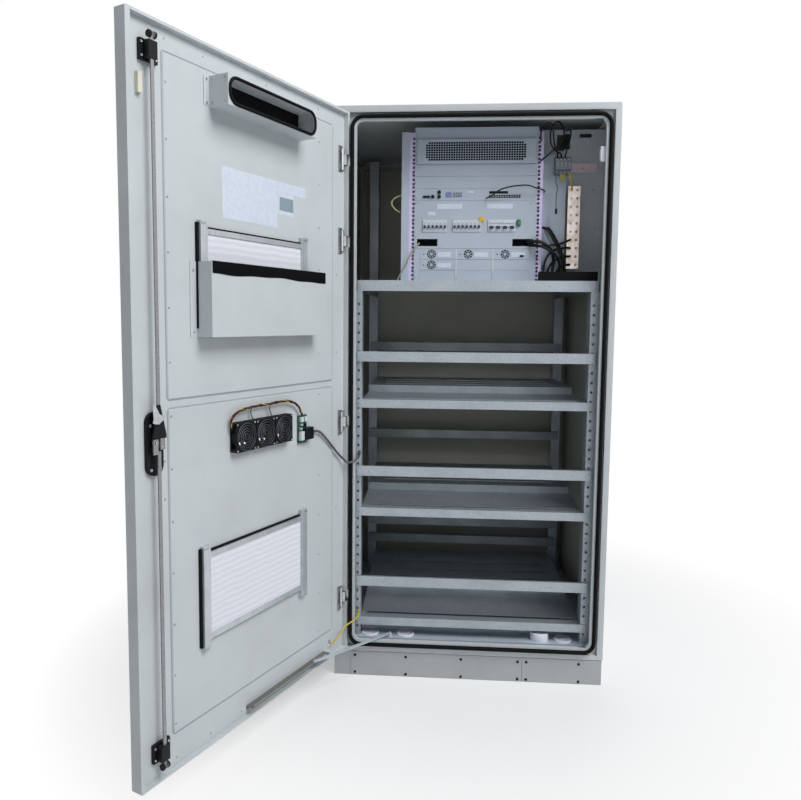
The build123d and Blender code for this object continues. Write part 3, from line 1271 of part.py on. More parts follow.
def rod_end(side):
    """The slotted end plate of the upper (+1) or lower (-1) rod, about the cam's centre."""
    x, z = cam_pin(-side)
    lead, reach = 7.0, 8.5
    plate = block(min(x - lead, x + reach) if x > 0 else x - reach, x + reach if x > 0 else x + lead,
                  ROD_OFF - ROD_THICK / 2, ROD_OFF + ROD_THICK / 2,
                  min(z - 8 * side, side * ROD_START), max(z - 8 * side, side * ROD_START))
    slot = PIN_RADIUS + SLOT_SLACK
    travel = CAM_ARM - abs(x)
    middle = x + travel / 2 if x > 0 else x - travel / 2
    plate -= block(middle - travel / 2 - slot, middle + travel / 2 + slot, ROD_OFF - 9, ROD_OFF + 9,
                   z - slot, z + slot)
    return plate


def lock_rod(side):
    """One flat rod, from its slotted end at the cam to the pair of rollers at its tip."""
    y0, y1 = ROD_OFF - ROD_THICK / 2, ROD_OFF + ROD_THICK / 2
    tip = ROLLER_TOP if side > 0 else ROLLER_SILL
    near = LATCH_Z + side * (ROD_START - 8)
    bar = block(LATCH_S - ROD_WIDTH / 2, LATCH_S + ROD_WIDTH / 2, y0, y1,
                min(near, tip + side * 4), max(near, tip + side * 4))
    rod_solid = bar + Pos(LATCH_S, 0, LATCH_Z) * rod_end(side)
    if side > 0:
        outline = Polyline((-24, ROD_START - 10), (21, ROD_START - 10), (19, ROD_START),
                           (5, GUSSET_TOP), (-5, GUSSET_TOP), (-24, ROD_START), close=True)
        gusset = extrude(Plane.XZ.offset(-y0) * make_face(outline), -ROD_THICK)
        rod_solid += Pos(LATCH_S, 0, LATCH_Z) * gusset
    for a in (LATCH_S - ROD_WIDTH / 2 - ROLLER_WIDTH, LATCH_S + ROD_WIDTH / 2):
        rod_solid += rod_x(ROD_OFF, tip, a, a + ROLLER_WIDTH, ROLLER_RADIUS)
    return on_door(rod_solid)


def rod_guides():
    """Black guide blocks at the ends of the rods, each with a channel the rod slides in."""
    guides = []
    for z0, z1 in GUIDE_HEIGHTS:
        guide = block(LATCH_S - 32, LATCH_S + 25, LINER + SEAT, HOUSING_OFF, z0, z1)
        guide += block(LATCH_S - 14, LATCH_S + 14, HOUSING_OFF - 1, GUIDE_TOP, z0 + 4, z1 - 4)
        half, slack = ROD_WIDTH / 2, 0.2
        guide -= block(LATCH_S - half - slack, LATCH_S + half + slack, ROD_OFF - ROD_THICK / 2 - slack,
                       ROD_OFF + ROD_THICK / 2 + slack, z0 - 1, z1 + 1)
        guides.append(guide)
    return on_door(group(*guides))


# Stay arm and small parts


def stay_points():
    """The stay's fixed pivot and the place of its far end, with the door open."""
    end = on_door(Pos(STAY_S, STAY_OFF, 0) * Sphere(1)).center()
    return (STAY_X, FRONT + STAY_Y), (end.X, end.Y)


def stay_arm():
    (x0, y0), (x1, y1) = stay_points()
    length = hypot(x1 - x0, y1 - y0)
    z0 = FLOOR + STAY_RISE
    arm = block(0, length, -STAY_WIDTH / 2, STAY_WIDTH / 2, z0, z0 + STAY_THICK)
    arm += rod(0, 0, z0, z0 + STAY_THICK, STAY_WIDTH / 2) + rod(length, 0, z0, z0 + STAY_THICK, STAY_WIDTH / 2)
    arm += rod(length, 0, CHANNEL_TOP + SEAT, z0 + STAY_THICK + 3, 5)
    arm -= rod(0, 0, z0 - 1, z0 + STAY_THICK + 1, HINGE_PIN + RUNNING)
    return Pos(x0, y0, 0) * Rot(0, 0, degrees(atan2(y1 - y0, x1 - x0))) * arm


def stay_channel():
    """The slotted angle along the door's foot that the stay's end runs in."""
    s0, s1 = CHANNEL
    back = LINER + SEAT
    channel = block(s0, s1, back, back + SHEET, CHANNEL_TOP - CHANNEL_DROP, CHANNEL_TOP)
    channel += block(s0, s1, back, CHANNEL_FRONT, CHANNEL_TOP - SHEET, CHANNEL_TOP)
    channel -= block(s0 + 14, s1 - 14, STAY_OFF - 3.5, STAY_OFF + 3.5, CHANNEL_TOP - SHEET - 1, CHANNEL_TOP + 1)
    return on_door(channel)


def sensor_magnet():
    s0, s1, z0, z1 = MAGNET
    magnet = block(s0, s1, LINER + SEAT, MAGNET_TOP, z0, z1)
    return on_door(fillet(magnet.edges().filter_by(Axis.Y), 2))


def hinge_cables():
    """The fan lead and the earth lead where they cross from the door to the frame."""
    fan = [on_door_point(*point) for point in FAN_LEAD] + list(FAN_LEAD_END)
    earth = [on_door_point(*point) for point in EARTH_LEAD] + list(EARTH_LEAD_END)
    return group(cable(fan, 8.0), cable(earth, 6.0))


def on_door_point(s, off, z):
    centre = on_door(Pos(s, off, z) * Sphere(1)).center()
    return (centre.X, centre.Y, centre.Z)


NODES = {
    "plinth_frame": plinth_frame,
    "plinth_covers": plinth_covers,
    "side_panel_left": lambda: side_panel(-1),
    "side_panel_right": lambda: side_panel(1),
    "back_panel": back_panel,
    "roof_cover": roof_cover,
    "floor_pan": floor_pan,
    "cable_entry_plugs": cable_entry_plugs,
    "front_frame": front_frame,
    "frame_gasket": frame_gasket,
    "uprights": uprights,
    "frame_rails": frame_rails,
    "mid_beam": mid_beam,
    "battery_shelf_top": lambda: battery_shelf("top"),
    "battery_shelf_middle": lambda: battery_shelf("middle"),
    "battery_shelf_bottom": lambda: battery_shelf("bottom"),
    "retaining_bars": retaining_bars,
    "rack_posts": rack_posts,
    "blank_panels": blank_panels,
    "vent_panel": vent_panel,
    "controller_unit": controller_unit,
    "distribution_panel": distribution_panel,
    "breakers": breakers,
    "main_breaker_handle": main_breaker_handle,
    "rectifier_shelf": rectifier_shelf,
    "rectifier_modules": rectifier_modules,
    "equipment_plate": equipment_plate,
    "wall_plate": wall_plate,
    "ground_bar": ground_bar,
    "din_rail": din_rail,
    "terminal_block": terminal_block,
    "wiring": wiring,
    "foam_strip": foam_strip,
    "door_sensor": door_sensor,
    "frame_hinge_leaves": frame_hinge_leaves,
    "door_shell": door_shell,
    "door_inner_panel": door_inner_panel,
    "air_duct_hood": air_duct_hood,
    "duct_gasket": duct_gasket,
    "document_box": document_box,
    "document_box_trim": document_box_trim,
    "filter_frames": filter_frames,
    "filter_media": filter_media,
    "fan_housings": fan_housings,
    "fan_board": fan_board,
    "fan_harness": fan_harness,
    "latch_housing": latch_housing,
    "rod_guides": rod_guides,
    "door_hinge_leaves": door_hinge_leaves,
    "stay_channel": stay_channel,
    "fan_rotor_left": lambda: fan_rotor(1),
    "fan_rotor_middle": lambda: fan_rotor(0),
    "fan_rotor_right": lambda: fan_rotor(-1),
    "latch_cam": latch_cam,
    "rod_upper": lambda: lock_rod(1),
    "rod_lower": lambda: lock_rod(-1),
    "swing_handle": swing_handle,
    "stay_arm": stay_arm,
    "hinge_cables": hinge_cables,
    "sensor_magnet": sensor_magnet,
}

for name, make in NODES.items():
    export_step(make(), "parts/" + name + ".step")
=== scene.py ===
"""Looks of the roadside utility cabinet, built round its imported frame.

Everything is in metres, in the frame of the CAD part. Places on the door are given as
s from its hinge edge, off from its inner rim towards the cabinet and z up, in millimetres.
"""
import json
import math

import bmesh
import bpy
import numpy as np
from mathutils import Matrix, Vector

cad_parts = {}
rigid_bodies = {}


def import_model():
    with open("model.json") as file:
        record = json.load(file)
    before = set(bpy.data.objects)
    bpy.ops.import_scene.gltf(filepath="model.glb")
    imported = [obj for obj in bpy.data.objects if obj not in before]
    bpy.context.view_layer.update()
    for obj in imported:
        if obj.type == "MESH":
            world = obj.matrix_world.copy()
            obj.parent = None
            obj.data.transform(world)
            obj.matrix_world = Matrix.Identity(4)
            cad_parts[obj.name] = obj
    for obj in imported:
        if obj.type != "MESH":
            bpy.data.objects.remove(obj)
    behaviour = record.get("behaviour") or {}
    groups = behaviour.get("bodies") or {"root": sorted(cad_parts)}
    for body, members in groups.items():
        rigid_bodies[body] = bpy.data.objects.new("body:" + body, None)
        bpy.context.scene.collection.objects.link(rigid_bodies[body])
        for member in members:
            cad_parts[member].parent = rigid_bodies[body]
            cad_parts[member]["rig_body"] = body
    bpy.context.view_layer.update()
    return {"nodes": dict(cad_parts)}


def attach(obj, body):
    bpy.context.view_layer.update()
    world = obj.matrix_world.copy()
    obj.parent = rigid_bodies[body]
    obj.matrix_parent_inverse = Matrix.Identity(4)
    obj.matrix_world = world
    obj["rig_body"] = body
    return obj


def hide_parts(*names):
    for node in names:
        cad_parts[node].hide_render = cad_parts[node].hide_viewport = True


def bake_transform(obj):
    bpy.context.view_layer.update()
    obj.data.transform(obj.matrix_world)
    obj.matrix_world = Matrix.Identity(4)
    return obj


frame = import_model()
nodes = frame["nodes"]

# Door, open as in the photograph
DOOR_TURN = math.radians(115.5)
PIVOT = (-471.5, -470.1)
RIM_CORNER = (-497.0, -454.0)
LINER = -16.0
PAD = -13.0
LATCH_S = 919.5
LATCH_Z = 1020.0
ROD_HALF = 5.01

FAN_CENTRES = (404.0, 495.0, 586.0)
FAN_HEIGHT = 995.0
FAN_FRONT = PAD + 0.3 + 25.0
FILTERS = ((262.0, 754.0, 1306.0, 1606.0), (266.0, 758.0, 405.0, 705.0))
FIELD_SIDES = (90.0, 866.0)
FIELD_ENDS = ((212.0, 1103.0), (1128.0, 2010.0))
HINGE_HEIGHTS = (311.0, 971.0, 1622.0, 1907.0)
RIVET_ROWS = (1936, 1795, 1651, 1510, 1368, 1226, 1084, 943, 801, 660, 518, 376, 238)

# Cabinet and rack
PLINTH_FACE = -449.7
BARS_FACE = -422.0
SHELVES_FACE = -412.3
BEAM_FACE = -406.0
BAR_FACE = -253.5
RACK_FACE = -302.3
RACK_BASE = 1491.0
RACK_MIDDLE = 10.0
MODULE_WIDTH = 138.0
MODULE_HEIGHT = 40.2
SUBRACK = 123.0
UNIT = 44.45
BREAKER_ROW = RACK_BASE + SUBRACK + 84.0
MODULES = ((0, 0), (1, 0), (2, 0), (0, 1))

# Camera, fitted to the photograph: sizes in pixels, turn in degrees, place in metres
PHOTO_WIDTH = 801.0
PHOTO_MIDDLE = (400.5, 400.0)
VIEW_MIDDLE = (379.83, 383.24)
FOCAL_LENGTH = 711.504
SENSOR_MM = 36.0
CAMERA_TURN = (4.97786, 4.11733, 0.82297)
CAMERA_PLACE = (-0.1462, -3.0339, 1.3371)


def door_places(points):
    """Turns rows of s, off, z in mm into the frame, in metres: the shut door's place
    turned clockwise about the hinge pins by the angle at which it stands open."""
    p = np.asarray(points, float)
    dx = RIM_CORNER[0] + p[..., 0] - PIVOT[0]
    dy = RIM_CORNER[1] + p[..., 1] - PIVOT[1]
    c, s = math.cos(DOOR_TURN), math.sin(DOOR_TURN)
    x = PIVOT[0] + dx * c + dy * s
    y = PIVOT[1] - dx * s + dy * c
    return np.stack([x, y, p[..., 2]], axis=-1) / 1000


def body_places(points):
    """Turns rows of x, y, z in mm into metres."""
    return np.asarray(points, float) / 1000


# Camera

def set_camera():
    """Stands the camera where the photograph was taken, with its view angle and its small tilt."""
    rx, ry, rz = (math.radians(a) for a in CAMERA_TURN)
    turn = Matrix.Rotation(rz, 3, "Z") @ Matrix.Rotation(ry, 3, "Y") @ Matrix.Rotation(rx, 3, "X")
    turn = turn @ Matrix(((1, 0, 0), (0, 0, -1), (0, 1, 0)))
    look = turn.transposed() @ Matrix(((1, 0, 0), (0, -1, 0), (0, 0, -1)))
    data = bpy.data.cameras.new("photo_camera")
    data.sensor_width = SENSOR_MM
    data.lens = FOCAL_LENGTH * SENSOR_MM / PHOTO_WIDTH
    data.shift_x = (PHOTO_MIDDLE[0] - VIEW_MIDDLE[0]) / PHOTO_WIDTH
    data.shift_y = (VIEW_MIDDLE[1] - PHOTO_MIDDLE[1]) / PHOTO_WIDTH
    data.clip_start = 0.05
    data.clip_end = 60.0
    camera = bpy.data.objects.new("photo_camera", data)
    bpy.context.scene.collection.objects.link(camera)
    camera.rotation_mode = "QUATERNION"
    camera.rotation_quaternion = look.to_quaternion()
    camera.location = CAMERA_PLACE
    bpy.context.scene.camera = camera


set_camera()


# Finishes

def linear(hex_code):
    """sRGB hex to linear colour with alpha."""
    values = []
    for i in (0, 2, 4):
        c = int(hex_code[i:i + 2], 16) / 255
        values.append(c / 12.92 if c <= 0.04045 else ((c + 0.055) / 1.055) ** 2.4)
    return (*values, 1.0)


def add(tree, kind, settings=None, inputs=None):
    """Adds a shader node, sets its settings, then sets or links its inputs by name or number."""
    made = tree.nodes.new("ShaderNode" + kind)
    for name, value in (settings or {}).items():
        setattr(made, name, value)
    for name, value in (inputs or {}).items():
        if isinstance(value, bpy.types.NodeSocket):
            tree.links.new(value, made.inputs[name])
        else:
            made.inputs[name].default_value = value
    return made


def start(name, colour, roughness, metallic=0.0, ior=1.5, specular=0.5):
    """A new material with its shader set: returns the material, its tree, shader and object place."""
    made = bpy.data.materials.new(name)
    made.use_nodes = True
    tree = made.node_tree
    shader = tree.nodes["Principled BSDF"]
    shader.inputs["Base Color"].default_value = linear(colour)
    shader.inputs["Roughness"].default_value = roughness
    shader.inputs["Metallic"].default_value = metallic
    shader.inputs["Specular IOR Level"].default_value = specular
    if not metallic:
        shader.inputs["IOR"].default_value = ior
    place = add(tree, "TexCoord").outputs["Object"]
    made.diffuse_color = linear(colour)
    return made, tree, shader, place


def weather(surface, other, patches, stain, gloss=None, gloss_from=None, grain=None, relief=None):
    """Gives a new surface its pattern and returns its material. The patches, stretched from
    stain's low to its high, mix in up to stain's share of the other colour. Gloss stretches the
    patches, or what gloss_from names, from its low and high to two values of roughness. The grain
    is lifted by relief's depth in mm and strength. Patches and grain are sockets, or noises: mm
    across, detail and roughness."""
    made, tree, shader, place = surface

    def lumps(pattern):
        if not isinstance(pattern, tuple):
            return pattern
        size_mm, detail, rough = pattern
        return add(tree, "TexNoise", None, {"Vector": place, "Scale": 1000 / size_mm,
                                            "Detail": detail, "Roughness": rough}).outputs["Fac"]

    def stretched(factor, low, high, bottom, top):
        return add(tree, "MapRange", None, {"Value": factor, "From Min": low, "From Max": high,
                                            "To Min": bottom, "To Max": top}).outputs[0]

    factor = lumps(patches)
    mix = add(tree, "Mix", {"data_type": "RGBA"},
              {0: stretched(factor, stain[0], stain[1], 0.0, stain[2]),
               6: made.diffuse_color, 7: linear(other)})
    tree.links.new(mix.outputs[2], shader.inputs["Base Color"])
    if gloss:
        tree.links.new(stretched(gloss_from or factor, *gloss), shader.inputs["Roughness"])
    if relief:
        lifted = add(tree, "Bump", None, {"Height": lumps(grain), "Distance": relief[0] / 1000,
                                          "Strength": relief[1]})
        tree.links.new(lifted.outputs[0], shader.inputs["Normal"])
    return made


def powder_coat(name, colour, grime):
    """Polyester powder coat on sheet steel, sprayed and baked: a fine orange peel about 2 mm
    across, drawn at 4 mm so that it shows, and faint hand marks about 250 mm across."""
    return weather(start(name, colour, 0.42), grime, (260, 5.0, 0.6), (0.42, 0.75, 0.3),
                   gloss=(0.3, 0.8, 0.36, 0.52), grain=(4.0, 2.0, 0.5), relief=(0.05, 0.5))


def coated_sheet(name, colour, other, metallic=0.55):
    """Aluminium-zinc coated steel sheet, hot dipped and rolled: soft grey with a spangle of
    crystals about 6 mm across and clouds about 120 mm across, duller than bare steel."""
    surface = start(name, colour, 0.42, metallic)
    tree, place = surface[1], surface[3]
    cells = add(tree, "TexVoronoi", None, {"Vector": place, "Scale": 1000 / 6.0, "Randomness": 1.0})
    grey = add(tree, "SeparateColor", None, {0: cells.outputs["Color"]}).outputs[0]
    cloud = add(tree, "TexNoise", None, {"Vector": place, "Scale": 1000 / 120, "Detail": 4.0,
                                         "Roughness": 0.6}).outputs["Fac"]
    both = add(tree, "Math", {"operation": "MULTIPLY_ADD"}, {0: grey, 1: 0.25, 2: cloud}).outputs[0]
    return weather(surface, other, both, (0.35, 0.95, 0.6),
                   gloss=(0.3, 1.0, 0.34, 0.55), grain=(3.0, 2.0, 0.5), relief=(0.03, 0.3))


def zinc_plate(name, colour, tarnish, roughness=0.3):
    """Bright zinc plate on steel, barrel plated: cool and shiny, with dull spots a few mm across."""
    return weather(start(name, colour, roughness, 1.0), tarnish, (9, 5.0, 0.65), (0.45, 0.75, 0.7),
                   gloss=(0.35, 0.8, roughness, roughness + 0.25), grain=(1.6, 2.0, 0.5),
                   relief=(0.02, 0.3))


def moulded(name, colour, worn, roughness=0.45, grain_mm=1.6, depth=0.04, specular=0.5):
    """Moulded plastic with a spark-eroded grain: an even colour, a soft sheen, paler where handled."""
    return weather(start(name, colour, roughness, 0.0, 1.49, specular), worn, (38, 4.0, 0.6),
                   (0.5, 0.8, 0.5),
                   gloss=(0.3, 0.8, roughness - 0.06, roughness + 0.1), grain=(grain_mm, 2.0, 0.5),
                   relief=(depth, 0.5))


def foam_rubber(name, colour, bloom):
    """Cellular EPDM rubber, extruded: nearly black and dull, with open pores about 1 mm across."""
    surface = start(name, colour, 0.72, 0.0, 1.52, 0.12)
    tree, place = surface[1], surface[3]
    pores = add(tree, "TexVoronoi", None, {"Vector": place, "Scale": 1000 / 1.4}).outputs["Distance"]
    return weather(surface, bloom, (30, 4.0, 0.6), (0.5, 0.8, 0.5),
                   grain=pores, relief=(0.15, 0.6))


def drawn_lines(surface, size_mm, detail, squeeze):
    """Lines along an upright section: a noise drawn out along z by one over squeeze."""
    tree, place = surface[1], surface[3]
    upright = add(tree, "Mapping", None, {"Vector": place, "Scale": (1.0, 1.0, squeeze)}).outputs[0]
    return add(tree, "TexNoise", None, {"Vector": upright, "Scale": 1000 / size_mm,
                                        "Detail": detail, "Roughness": 0.5}).outputs["Fac"]


def drawn_alloy(name, colour, dark):
    """Natural anodised aluminium section, extruded upright: satin, with die lines along its
    length about 0.5 mm apart, drawn at 1.2 mm so that they show."""
    surface = start(name, colour, 0.32, 0.5)
    lines = drawn_lines(surface, 1.2, 2.0, 0.015)
    return weather(surface, dark, (60, 3.0, 0.5), (0.4, 0.8, 0.5),
                   gloss=(0.3, 0.7, 0.26, 0.42), gloss_from=lines, grain=lines, relief=(0.03, 0.5))


def fleece(name, colour, grey):
    """Non-woven polyester filter mat, needled: white and matt, with matted threads about 3 mm
    long and soft rows about 9 mm apart from the needles."""
    surface = start(name, colour, 0.95, 0.0, 1.45)
    made, tree, shader, place = surface
    flat = add(tree, "Mapping", None, {"Vector": place, "Scale": (1.0, 1.0, 2.6)}).outputs[0]
    threads = add(tree, "TexNoise", None, {"Vector": flat, "Scale": 1000 / 5.0, "Detail": 6.0,
                                           "Roughness": 0.75}).outputs["Fac"]
    rows = add(tree, "TexWave", {"bands_direction": "Z"},
               {"Vector": place, "Scale": 1000 / 9.0 / 6.2832, "Distortion": 2.2,
                "Detail": 3.0}).outputs["Fac"]
    mixed = add(tree, "Math", {"operation": "MULTIPLY_ADD"}, {0: rows, 1: 0.3, 2: threads}).outputs[0]
    weather(surface, grey, mixed, (0.35, 0.95, 0.75), grain=mixed, relief=(0.9, 0.6))
    shader.inputs["Sheen Weight"].default_value = 0.25
    shader.inputs["Sheen Roughness"].default_value = 0.5
    return made


def copper_plate(name, colour, dark):
    """Hard copper bar, rolled, with a thin tin wash: pale pink, brushed along its length, and
    browner in patches where fingers have been."""
    surface = start(name, colour, 0.34, 1.0)
    return weather(surface, dark, (24, 4.0, 0.6), (0.42, 0.75, 0.8),
                   gloss=(0.3, 0.8, 0.28, 0.5), grain=drawn_lines(surface, 0.9, 3.0, 0.03),
                   relief=(0.03, 0.4))


def circuit_board(name, colour, track):
    """Glass-fibre board under green solder mask: glossy, with rows of copper 4.6 mm high that
    show through it between dark gaps of 0.8 mm."""
    surface = start(name, colour, 0.28, 0.0, 1.52)
    tree, place = surface[1], surface[3]
    tracks = add(tree, "TexBrick", None,
                 {"Vector": place, "Scale": 1.0, "Brick Width": 0.011, "Row Height": 0.0046,
                  "Mortar Size": 0.0008}).outputs["Fac"]
    return weather(surface, track, tracks, (0.0, 1.0, 1.0), grain=tracks, relief=(0.05, 0.5))


def sheath(name, colour, dull, roughness=0.38, specular=0.5):
    """Soft PVC cable sheath, extruded: smooth, with a dull bloom and slight waves along it."""
    return weather(start(name, colour, roughness, 0.0, 1.53, specular), dull, (22, 4.0, 0.6),
                   (0.45, 0.8, 0.6),
                   grain=(5.0, 2.0, 0.5), relief=(0.06, 0.4))


def label_film(name, colour, shade):
    """White polyester label film, calendered: satin, with the faint mottle of its glue below."""
    return weather(start(name, colour, 0.3, 0.0, 1.6), shade, (16, 5.0, 0.7), (0.4, 0.75, 0.6),
                   grain=(16, 5.0, 0.7), relief=(0.08, 0.4))


def lamp_cap(name, colour, light):
    """Small light guide of clear tinted acrylic: glossy, with small patches of a paler tint mixed in as a
    painted glow.
    """
    return weather(start(name, colour, 0.15, 0.0, 1.49), light, (3.0, 1.0, 0.5), (0.0, 1.0, 1.0))


COAT = powder_coat("powder_coat_light_grey", "cad0d3", "a7aaa9")
# A darker, browner copy of the coat for the panels' inner faces: painted shade for the dim inside of the
# cabinet.
COAT_INSIDE_SHADE = powder_coat("powder_coat_inside_painted_shade", "b4b3a8", "8f8e84")
COAT_PLINTH = powder_coat("powder_coat_plinth_grey", "b3b6b8", "929495")
SHEET = coated_sheet("aluzinc_sheet", "b4bcc4", "8b949d")
SHEET_DARK = coated_sheet("aluzinc_sheet_dull", "8e969c", "6a7278")
SHEET_WALL = coated_sheet("pale_zinc_wall_sheet", "cdd5dd", "aeb6bd", 0.1)
# A paler copy of the coated sheet. On the floor pan it is painted light: lighter than the sheet's own
# colour, to stand for light on the front of the floor. The stay arm wears it as a pale bar.
SHEET_PALE_LIT = coated_sheet("pale_zinc_sheet_painted_light", "ccd6e2", "a9b4c0", 0.25)
SHEET_WORN = coated_sheet("worn_stay_channel_steel", "85837e", "64625d", 0.4)
SHEET_PINK = coated_sheet("passivated_rail_steel", "f4e4ea", "d6c4cc", 0.1)
ZINC = zinc_plate("bright_zinc_plate", "c6c9cc", "8f9295")
ZINC_SCREW = zinc_plate("zinc_plated_screws", "a9adb0", "6d7073", 0.34)
ZINC_ROD = zinc_plate("zinc_plated_rods", "9b9a9c", "858488", 0.36)
GUARD = zinc_plate("dulled_guard_wire", "74767e", "4e5058", 0.42)
ENAMEL = powder_coat("smooth_rack_enamel", "bac4d2", "9ba4b0")
# Pale lilac for the front strips of the rack posts: a painted highlight, not the rail's own colour.
RAIL_HIGHLIGHT = coated_sheet("rack_rail_painted_highlight", "dccff4", "bcb0d8", 0.15)
BLACK = moulded("moulded_black_polyamide", "0e0f12", "222326", 0.45, 1.6, 0.04, 0.22)
BLACK_MAT = moulded("black_hook_tape", "08080a", "141417", 0.8, 1.2, 0.5, 0.08)
WHITE = moulded("moulded_white_polyethylene", "e9eaf6", "cfd0e2", 0.38, 2.0, 0.02)
BREAKER = moulded("moulded_white_breaker_case", "d5dae0", "b9bfc6", 0.4)
TOGGLE_BLUE = moulded("moulded_dark_blue_toggle", "223260", "3a4b7c", 0.35)
KEY_GREY = moulded("moulded_grey_keys", "8b919b", "a4abb3", 0.4)
CASE_GREY = moulded("moulded_grey_terminal_case", "6e747c", "868c93", 0.45)
IVORY = moulded("moulded_ivory_cover", "e0dccb", "c4bfae", 0.45)
FOAM = foam_rubber("foamed_epdm_rubber", "08090b", "15171a")
ALLOY = drawn_alloy("anodised_aluminium_section", "ccd1d6", "9ca2a8")
MAT = fleece("needled_polyester_fleece", "f1f3fa", "cfd3e0")
COPPER = copper_plate("tin_washed_copper", "eee6e2", "d3b9a8")
BRONZE = copper_plate("bronze_clamp_screws", "a98c78", "745847")
BOARD = circuit_board("green_circuit_board", "124a34", "2f7d5b")
CABLE_BLACK = sheath("black_pvc_sheath", "0d0e10", "1d1e20", 0.42, 0.2)
CABLE_GREY = sheath("grey_pvc_sheath", "4a4b4d", "68696a")
CABLE_BEIGE = sheath("beige_pvc_sheath", "a9a584", "86826a")
CABLE_RED = sheath("red_pvc_insulation", "7a1f22", "4e1517")
CABLE_YELLOW = sheath("yellow_pvc_insulation", "cfb53a", "a08c33")
CABLE_GREEN = sheath("green_pvc_insulation", "3c8a46", "2c6636")
# Grey strips along the door liner's fields: painted shade and highlight for the lines where the fields
# step.
SEAM_SHADE_AND_HIGHLIGHT = sheath("grey_painted_seam_shade_and_highlight", "a2abb2", "8f979e", 0.6)
# Black backing: felt behind the vent's mesh, and painted shade inside the duct on the door.
FELT_AND_SHADE_BACKING = foam_rubber("black_felt_and_painted_shade", "0d0e11", "1c1d20")
LABEL = label_film("white_polyester_label", "d9e2ef", "c0cadb")
LABEL_GREY = label_film("grey_polyester_label", "94a3ab", "7f8e97")
# The display window's paler blue patches are a painted glow.
SCREEN = lamp_cap("display_window_acrylic", "5a69a0", "8e9cd0")
TAG_YELLOW = moulded("yellow_tag_vinyl", "d9b53c", "b8993a", 0.4)
TAG_OLIVE = moulded("olive_lead_marker", "9a9550", "7a7642", 0.5)
TAG_GREEN = moulded("green_indicator_case", "1c6b3c", "2f8a52", 0.35)
# The lamps' paler green patches are a painted glow.
LAMP_GREEN = lamp_cap("green_lamp_acrylic", "2f7a45", "6bd08a")


def wear(finish, *names):
    """Puts one finish on whole CAD nodes."""
    for name in names:
        data = nodes[name].data
        data.materials.clear()
        data.materials.append(finish)


wear(COAT, "side_panel_left", "side_panel_right", "back_panel", "roof_cover", "front_frame", "door_shell",
     "door_inner_panel", "document_box", "air_duct_hood")
wear(COAT_PLINTH, "plinth_frame", "plinth_covers")
# The floor pan's paler sheet is painted light, lighter than its own colour where little light reaches it.
wear(SHEET_PALE_LIT, "floor_pan", "stay_arm")
wear(SHEET, "mid_beam", "battery_shelf_top", "battery_shelf_middle", "battery_shelf_bottom",
     "retaining_bars", "uprights")
wear(SHEET_DARK, "frame_rails")
wear(SHEET_WORN, "stay_channel")
wear(SHEET_WALL, "wall_plate")
wear(ZINC, "frame_hinge_leaves", "door_hinge_leaves", "latch_cam")
wear(SHEET_PINK, "din_rail")
wear(ZINC_ROD, "rod_upper", "rod_lower")
wear(ENAMEL, "blank_panels", "vent_panel", "controller_unit", "distribution_panel", "rectifier_shelf",
     "rectifier_modules", "equipment_plate")
wear(RAIL_HIGHLIGHT, "rack_posts")


def two_finishes(name, finish, chosen):
    """Puts a second finish on those faces of a CAD node whose centres the test picks."""
    data = nodes[name].data
    data.materials.append(finish)
    centres = np.empty(len(data.polygons) * 3)
    data.polygons.foreach_get("center", centres)
    data.polygons.foreach_set("material_index", chosen(centres.reshape(-1, 3)).astype(np.int32))


def beside_rod(centres):
    """Picks the faces more than half the rod's width from its middle line."""
    x = centres[:, 0] - PIVOT[0] / 1000
    y = centres[:, 1] - PIVOT[1] / 1000
    s = (x * math.cos(DOOR_TURN) - y * math.sin(DOOR_TURN)) * 1000 - (RIM_CORNER[0] - PIVOT[0])
    return np.abs(s - LATCH_S) > ROD_HALF


# The rack enamel goes on the left post's outer part and on the faces further back. The front strips that
# keep the pale lilac finish are a painted highlight.
two_finishes("rack_posts", ENAMEL, lambda c: (c[:, 0] < -0.2375) | (c[:, 1] > -0.296))
two_finishes("rod_upper", BLACK,
             lambda c: (beside_rod(c) & (c[:, 2] > 2.01)) | ((c[:, 2] > 1.03) & (c[:, 2] < 1.13)))
two_finishes("rod_lower", BLACK, lambda c: beside_rod(c) & (c[:, 2] < 0.17))
# The inner faces of the side and back panels take the darker coat, which paints in the shade inside the
# cabinet.
two_finishes("side_panel_left", COAT_INSIDE_SHADE, lambda c: (c[:, 0] > -0.499) & (c[:, 1] > -0.448))
two_finishes("side_panel_right", COAT_INSIDE_SHADE, lambda c: (c[:, 0] < 0.499) & (c[:, 1] > -0.448))
two_finishes("back_panel", COAT_INSIDE_SHADE, lambda c: c[:, 1] < 0.449)
wear(BLACK, "fan_housings", "latch_housing", "rod_guides", "fan_rotor_left", "fan_rotor_middle",
     "fan_rotor_right", "swing_handle")
wear(CASE_GREY, "terminal_block")
wear(TOGGLE_BLUE, "main_breaker_handle")
wear(WHITE, "cable_entry_plugs", "door_sensor")
wear(IVORY, "sensor_magnet")
wear(BREAKER, "breakers")
wear(FOAM, "foam_strip", "frame_gasket", "duct_gasket")
wear(BLACK_MAT, "document_box_trim")
wear(COPPER, "ground_bar")
wear(ALLOY, "filter_frames")
wear(MAT, "filter_media")
wear(BOARD, "fan_board")
wear(CABLE_BLACK, "wiring", "fan_harness", "hinge_cables")


# Shapes

def grid_faces(rows, columns, closed_rows=False, closed_columns=False):
    """Four-sided faces between neighbours of a grid, wrapped round where it closes."""
    r = np.arange(rows if closed_rows else rows - 1)[:, None]
    c = np.arange(columns if closed_columns else columns - 1)[None, :]
    r1, c1 = (r + 1) % rows, (c + 1) % columns
    corners = (r * columns + c, r * columns + c1, r1 * columns + c1, r1 * columns + c)
    return np.stack([np.broadcast_to(k, (r.shape[0], c.shape[1])).ravel() for k in corners], axis=1)


